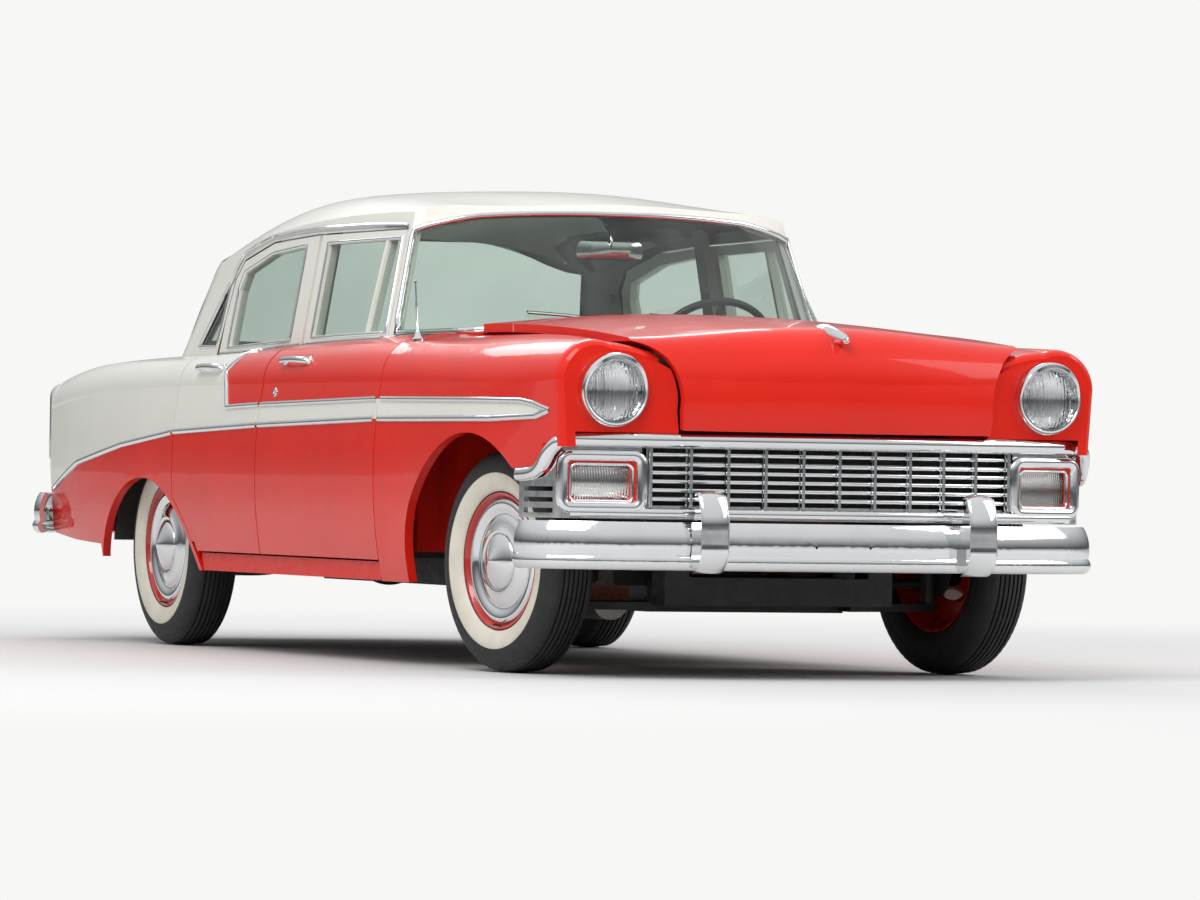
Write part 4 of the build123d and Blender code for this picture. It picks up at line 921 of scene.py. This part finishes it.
# Route points as x, y from the door's middle, z
ARMREST = ((0.795, -0.15, 0.735), (0.757, -0.12, 0.742), (0.750, 0, 0.745), (0.757, 0.12, 0.742),
           (0.795, 0.15, 0.735))
CRANK = ((0.792, -0.20, 0.66), (0.772, -0.20, 0.66), (0.768, -0.19, 0.655), (0.766, -0.12, 0.635),
         (0.752, -0.115, 0.634))


def door_fittings(node, side, middle):
    """The armrest and the window crank."""
    rest, crank = ([(side * x, middle + y, z) for x, y, z in route] for route in (ARMREST, CRANK))
    arm = piece(f"armrest_{node}", *sweep(smooth_path(rest, 6), Z, oval(0.022, 0.016, 14)), vinyl, node)
    piece(f"window_crank_{node}", *tube_path(smooth_path(crank, 5), 0.0055), chrome, node)


for side_name, side in SIDES:
    for panel, y0, y1 in (("front_door", -0.830, 0.050), ("rear_door", 0.165, 0.640)):
        node = f"{panel}_{side_name}"
        door_lining(node, side, y0, y1)
        door_fittings(node, side, (y0 + y1) / 2)

# Steering wheel, dash
HUB = Vector((0.330, -0.690, 0.985))
TILT = math.radians(32)
column = Vector((0, math.cos(TILT), math.sin(TILT)))
hub_place = frame_of(HUB, column, X)


def ring_at(radius, thick, height):
    """A round ring about the steering column."""
    path = [hub_place @ Vector((radius * math.cos(angle), radius * math.sin(angle), height))
            for angle in turn(72)]
    return sweep(path, column, oval(thick, thick, 12), True)


piece("steering_rim", *ring_at(0.215, 0.0125, 0.0), dark_plastic, "steering_wheel",
      stands_for=["steering_wheel"])
piece("horn_ring", *ring_at(0.125, 0.004, 0.014), chrome, "steering_wheel")
for index, angle in enumerate((0.0, math.pi)):
    path = [hub_place @ Vector((r * math.cos(angle), r * math.sin(angle), 0.004 - 0.02 * (1 - r / 0.215)))
            for r in spread(0.020, 0.208, 12)]
    strip(f"steering_spoke_{index}", path, column, oval(0.014, 0.006, 12), dark_plastic, "steering_wheel")
hub = [(0.001, 0.022), (0.018, 0.020), (0.030, 0.013), (0.036, 0.002), (0.037, -0.014), (0.030, -0.020),
       (0.001, -0.020)]
piece("steering_hub", *lathe(hub, hub_place, 48), chrome, "steering_wheel")
face_y = hit(["dashboard"], (-0.200, 0.0, 0.945), (0, -1, 0))[0].y
loop = rounded((0.330, 0.945), (0.150, 0.040), 0.036, 8)
path = [Vector((x, face_y + 0.001, z)) for x, z in loop]
strip("gauge_bezel", path, Y, half_round(0.010, 0.006), closed=True)
verts = [Vector((x, face_y + 0.0015, z)) for x, z in loop] + [Vector((0.330, face_y + 0.003, 0.945))]
faces = [(k, (k + 1) % len(loop), len(loop)) for k in range(len(loop))][::-1]
piece("gauge_face", verts, faces, dark_plastic)
for index, x in enumerate((-0.30, -0.10, 0.05, 0.12)):
    knob = [(0.001, 0.022), (0.008, 0.021), (0.0115, 0.015), (0.010, 0.006), (0.006, 0.002), (0.006, -0.004)]
    piece(f"dash_knob_{index}", *lathe(knob, frame_of(Vector((x, face_y, 0.905)), Y), 24), ivory)
path = [Vector((x, face_y + 0.001, 0.982)) for x in spread(-0.62, 0.62, 40)]
strip("dash_strip", path, Y, half_round(0.012, 0.005))

# Rear of the car
for side_name, side in SIDES:
    centre = end_hit(["tail_lamps"], 1, side * 0.800, 0.750)
    if centre:
        for tag, z, radius in (("low", -0.060, 0.032), ("high", 0.030, 0.040)):
            ring = [(radius - 0.006, 0.004), (radius - 0.003, 0.011), (radius, 0.012),
                    (radius + 0.003, 0.009), (radius + 0.004, 0.001)]
            place = frame_of(centre[0] + Z * z - Y * 0.003, Y)
            piece(f"tail_ring_{tag}_{side_name}", *lathe(ring, place, 40), chrome)
for side_name, side in SIDES:
    path = [Vector((x, 2.3395, z)) for x, z in rounded((side * 0.800, 0.740), (0.0545, 0.1445), 0.042, 8)]
    strip(f"tail_lamp_bezel_{side_name}", path, Y, half_round(0.013, 0.020, 8, 0.006), closed=True)
path = [f[0] for f in (end_hit(["trunk_lid"], 1, x, 0.720) for x in spread(-0.16, 0.16, 21)) if f]
strip("trunk_handle", path, Y, half_round(0.020, 0.014, 8), body="trunk_lid")

# Bumper guards, grille surrounds
# Where the grille's top bar runs on round the fender's corner
WRAP = ((0.866, -2.314, 0.706), (0.888, -2.290, 0.678), (0.899, -2.262, 0.640), (0.907, -2.225, 0.616),
        (0.913, -2.165, 0.608), (0.915, -2.112, 0.606))


def guard(name, node, x, rows, sign):
    """A rounded face over a bumper guard, from its foot to its curled top."""
    spots = [end_hit([node], sign, x, z) for z in rows]
    path = [s[0] - Y * sign * 0.003 for s in spots if s]
    if len(path) < 4:
        return
    top = path[-1]
    path += [top + Vector((0, -sign * 0.012, 0.006)), top + Vector((0, -sign * 0.026, 0.006))]
    path = smooth_path(path, 3)
    normals = []
    for k, p in enumerate(path):
        along = (path[min(k + 1, len(path) - 1)] - path[max(k - 1, 0)]).normalized()
        normals.append(Vector((0, sign * along.z, -sign * along.y)))
    strip(name, path, normals, half_round(0.090, 0.013, 14, 0.006))


for side_name, side in SIDES:
    guard(f"front_guard_{side_name}", "front_bumper", side * 0.442, spread(0.330, 0.546, 13), -1)
    guard(f"rear_guard_{side_name}", "rear_bumper", side * 0.480, spread(0.352, 0.568, 13), 1)
    loop = rounded((side * 0.7315, 0.588), (0.116, 0.078), 0.026)
    path = on_nose(loop, -0.001)
    strip(f"lamp_surround_{side_name}", path, -Y, half_round(0.034, 0.013, 10, 0.010), closed=True)
    near = rounded((side * 0.7315, 0.585), (0.084, 0.050), 0.016)
    wide = rounded((side * 0.7315, 0.587), (0.106, 0.068), 0.020)
    verts = on_nose(near, 0.0165) + on_nose(wide, -0.006)
    piece(f"lamp_recess_{side_name}", verts, bands(len(near)), red_paint)
    start = (side * 0.838, nose_y(0.838) - 0.004, 0.7125)
    wrap = smooth_path([start] + [(side * x, y, z) for x, y, z in WRAP], 6)
    outward = [Vector((side * t, -(1 - t) - 0.001, 0.15)).normalized() for t in spread(0.0, 1.0, len(wrap))]
    strip(f"grille_wrap_{side_name}", wrap, outward, half_round(0.040, 0.013, 10, 0.008))

rows = [on_nose([(x, z) for z in spread(0.500, 0.715, 9)], 0.062) for x in spread(-0.605, 0.605, 49)]
piece("radiator_face", *grid(rows), radiator)

# Camera, light
YAW, PITCH, ROLL = math.radians(23.1), math.radians(0.08), math.radians(0.95)
CAMERA = (-9.55, -22.98, 0.65)
# The lens in pixels of a picture 1200 wide
FOCAL, PICTURE_WIDE, SENSOR = 7562, 1200, 36.0
PALE_GROUND = (0.93, 0.93, 0.92)
forward = Vector((math.sin(YAW) * math.cos(PITCH), math.cos(YAW) * math.cos(PITCH), math.sin(PITCH)))
right = Vector((math.cos(YAW), -math.sin(YAW), 0))
up = right.cross(forward)
turned_right = right * math.cos(ROLL) + up * math.sin(ROLL)
turned_up = up * math.cos(ROLL) - right * math.sin(ROLL)
cam_data = bpy.data.cameras.new("camera")
cam_data.sensor_width = SENSOR
cam_data.lens = FOCAL / PICTURE_WIDE * SENSOR
cam_data.clip_end = 200
camera = placed("camera", cam_data)
camera.matrix_world = Matrix.Translation(CAMERA) @ Matrix(
    (turned_right, turned_up, -forward)).transposed().to_4x4()
bpy.context.scene.camera = camera


def area(name, place, target, size, power):
    """A soft rectangular lamp that looks at target."""
    data = bpy.data.lights.new(name, "AREA")
    data.shape = "RECTANGLE"
    data.size, data.size_y = size
    data.energy = power
    obj = placed(name, data)
    obj.location = place
    obj.rotation_mode = "QUATERNION"
    obj.rotation_quaternion = (Vector(target) - Vector(place)).to_track_quat("-Z", "Y")


area("key", (-5.5, -6.0, 7.5), (0, 0, 0.5), (6, 4), 520)
area("fill", (6.5, -5.0, 5.0), (0, 0, 0.5), (5, 4), 200)
area("back", (1.0, 8.0, 6.5), (0, 0, 0.8), (7, 3), 260)


def studio_world():
    """Light all round from a grey ramp by height, and a pale ground that the camera alone sees."""
    world = bpy.data.worlds.new("world")
    bpy.context.scene.world = world
    world.use_nodes = True
    tree = world.node_tree
    tree.nodes.clear()
    coords = add_node(tree, "ShaderNodeTexCoord").outputs["Generated"]
    up = add_node(tree, "ShaderNodeSeparateXYZ", {0: coords})
    height = add_node(tree, "ShaderNodeMath", {0: up.outputs[2], 1: 0.5, 2: 0.5}, operation="MULTIPLY_ADD")
    ramp = add_node(tree, "ShaderNodeValToRGB", {0: height.outputs[0]})
    stops = [(0.0, 0.24), (0.485, 0.30), (0.515, 0.09), (0.585, 0.36), (0.72, 0.78), (1.0, 0.95)]
    while len(ramp.color_ramp.elements) < len(stops):
        ramp.color_ramp.elements.new(0.5)
    for element, (at, level) in zip(ramp.color_ramp.elements, stops):
        element.position = at
        element.color = (level * 0.97, level * 0.99, level, 1)
    around = add_node(tree, "ShaderNodeBackground", {"Color": ramp.outputs[0], "Strength": 0.95}).outputs[0]
    ground = add_node(tree, "ShaderNodeBackground", {"Color": (*PALE_GROUND, 1), "Strength": 1.0}).outputs[0]
    ray = add_node(tree, "ShaderNodeLightPath").outputs["Is Camera Ray"]
    mixed = add_node(tree, "ShaderNodeMixShader", {0: ray, 1: around, 2: ground}).outputs[0]
    add_node(tree, "ShaderNodeOutputWorld", {"Surface": mixed})


def pale_floor():
    """A plain floor that fades into the white ground behind, for the camera only."""
    s = Shader("floor", (0.66, 0.655, 0.65), 0.85)
    far = s.node("ShaderNodeVectorMath", {0: s.place}, operation="LENGTH").outputs["Value"]
    fade = s.node("ShaderNodeMapRange", {"Value": far, "From Min": 3.4, "From Max": 8.0},
                  interpolation_type="SMOOTHSTEP").outputs["Result"]
    ray = s.node("ShaderNodeLightPath").outputs["Is Camera Ray"]
    glow = s.node("ShaderNodeEmission", {"Color": (*PALE_GROUND, 1)}).outputs[0]
    share = s.math("MULTIPLY", fade, ray)
    return s.surface(s.node("ShaderNodeMixShader", {0: share, 1: s.bsdf.outputs[0], 2: glow}).outputs[0])


studio_world()
FLOOR_HALF = 60
floor_mesh = bpy.data.meshes.new("floor")
floor_mesh.from_pydata([(x * FLOOR_HALF, y * FLOOR_HALF, 0) for x, y in ((-1, -1), (1, -1), (1, 1), (-1, 1))],
                       [], [(0, 1, 2, 3)])
floor_mesh.materials.append(pale_floor())
floor = placed("floor", floor_mesh)

bpy.context.scene.view_settings.view_transform = "Standard"
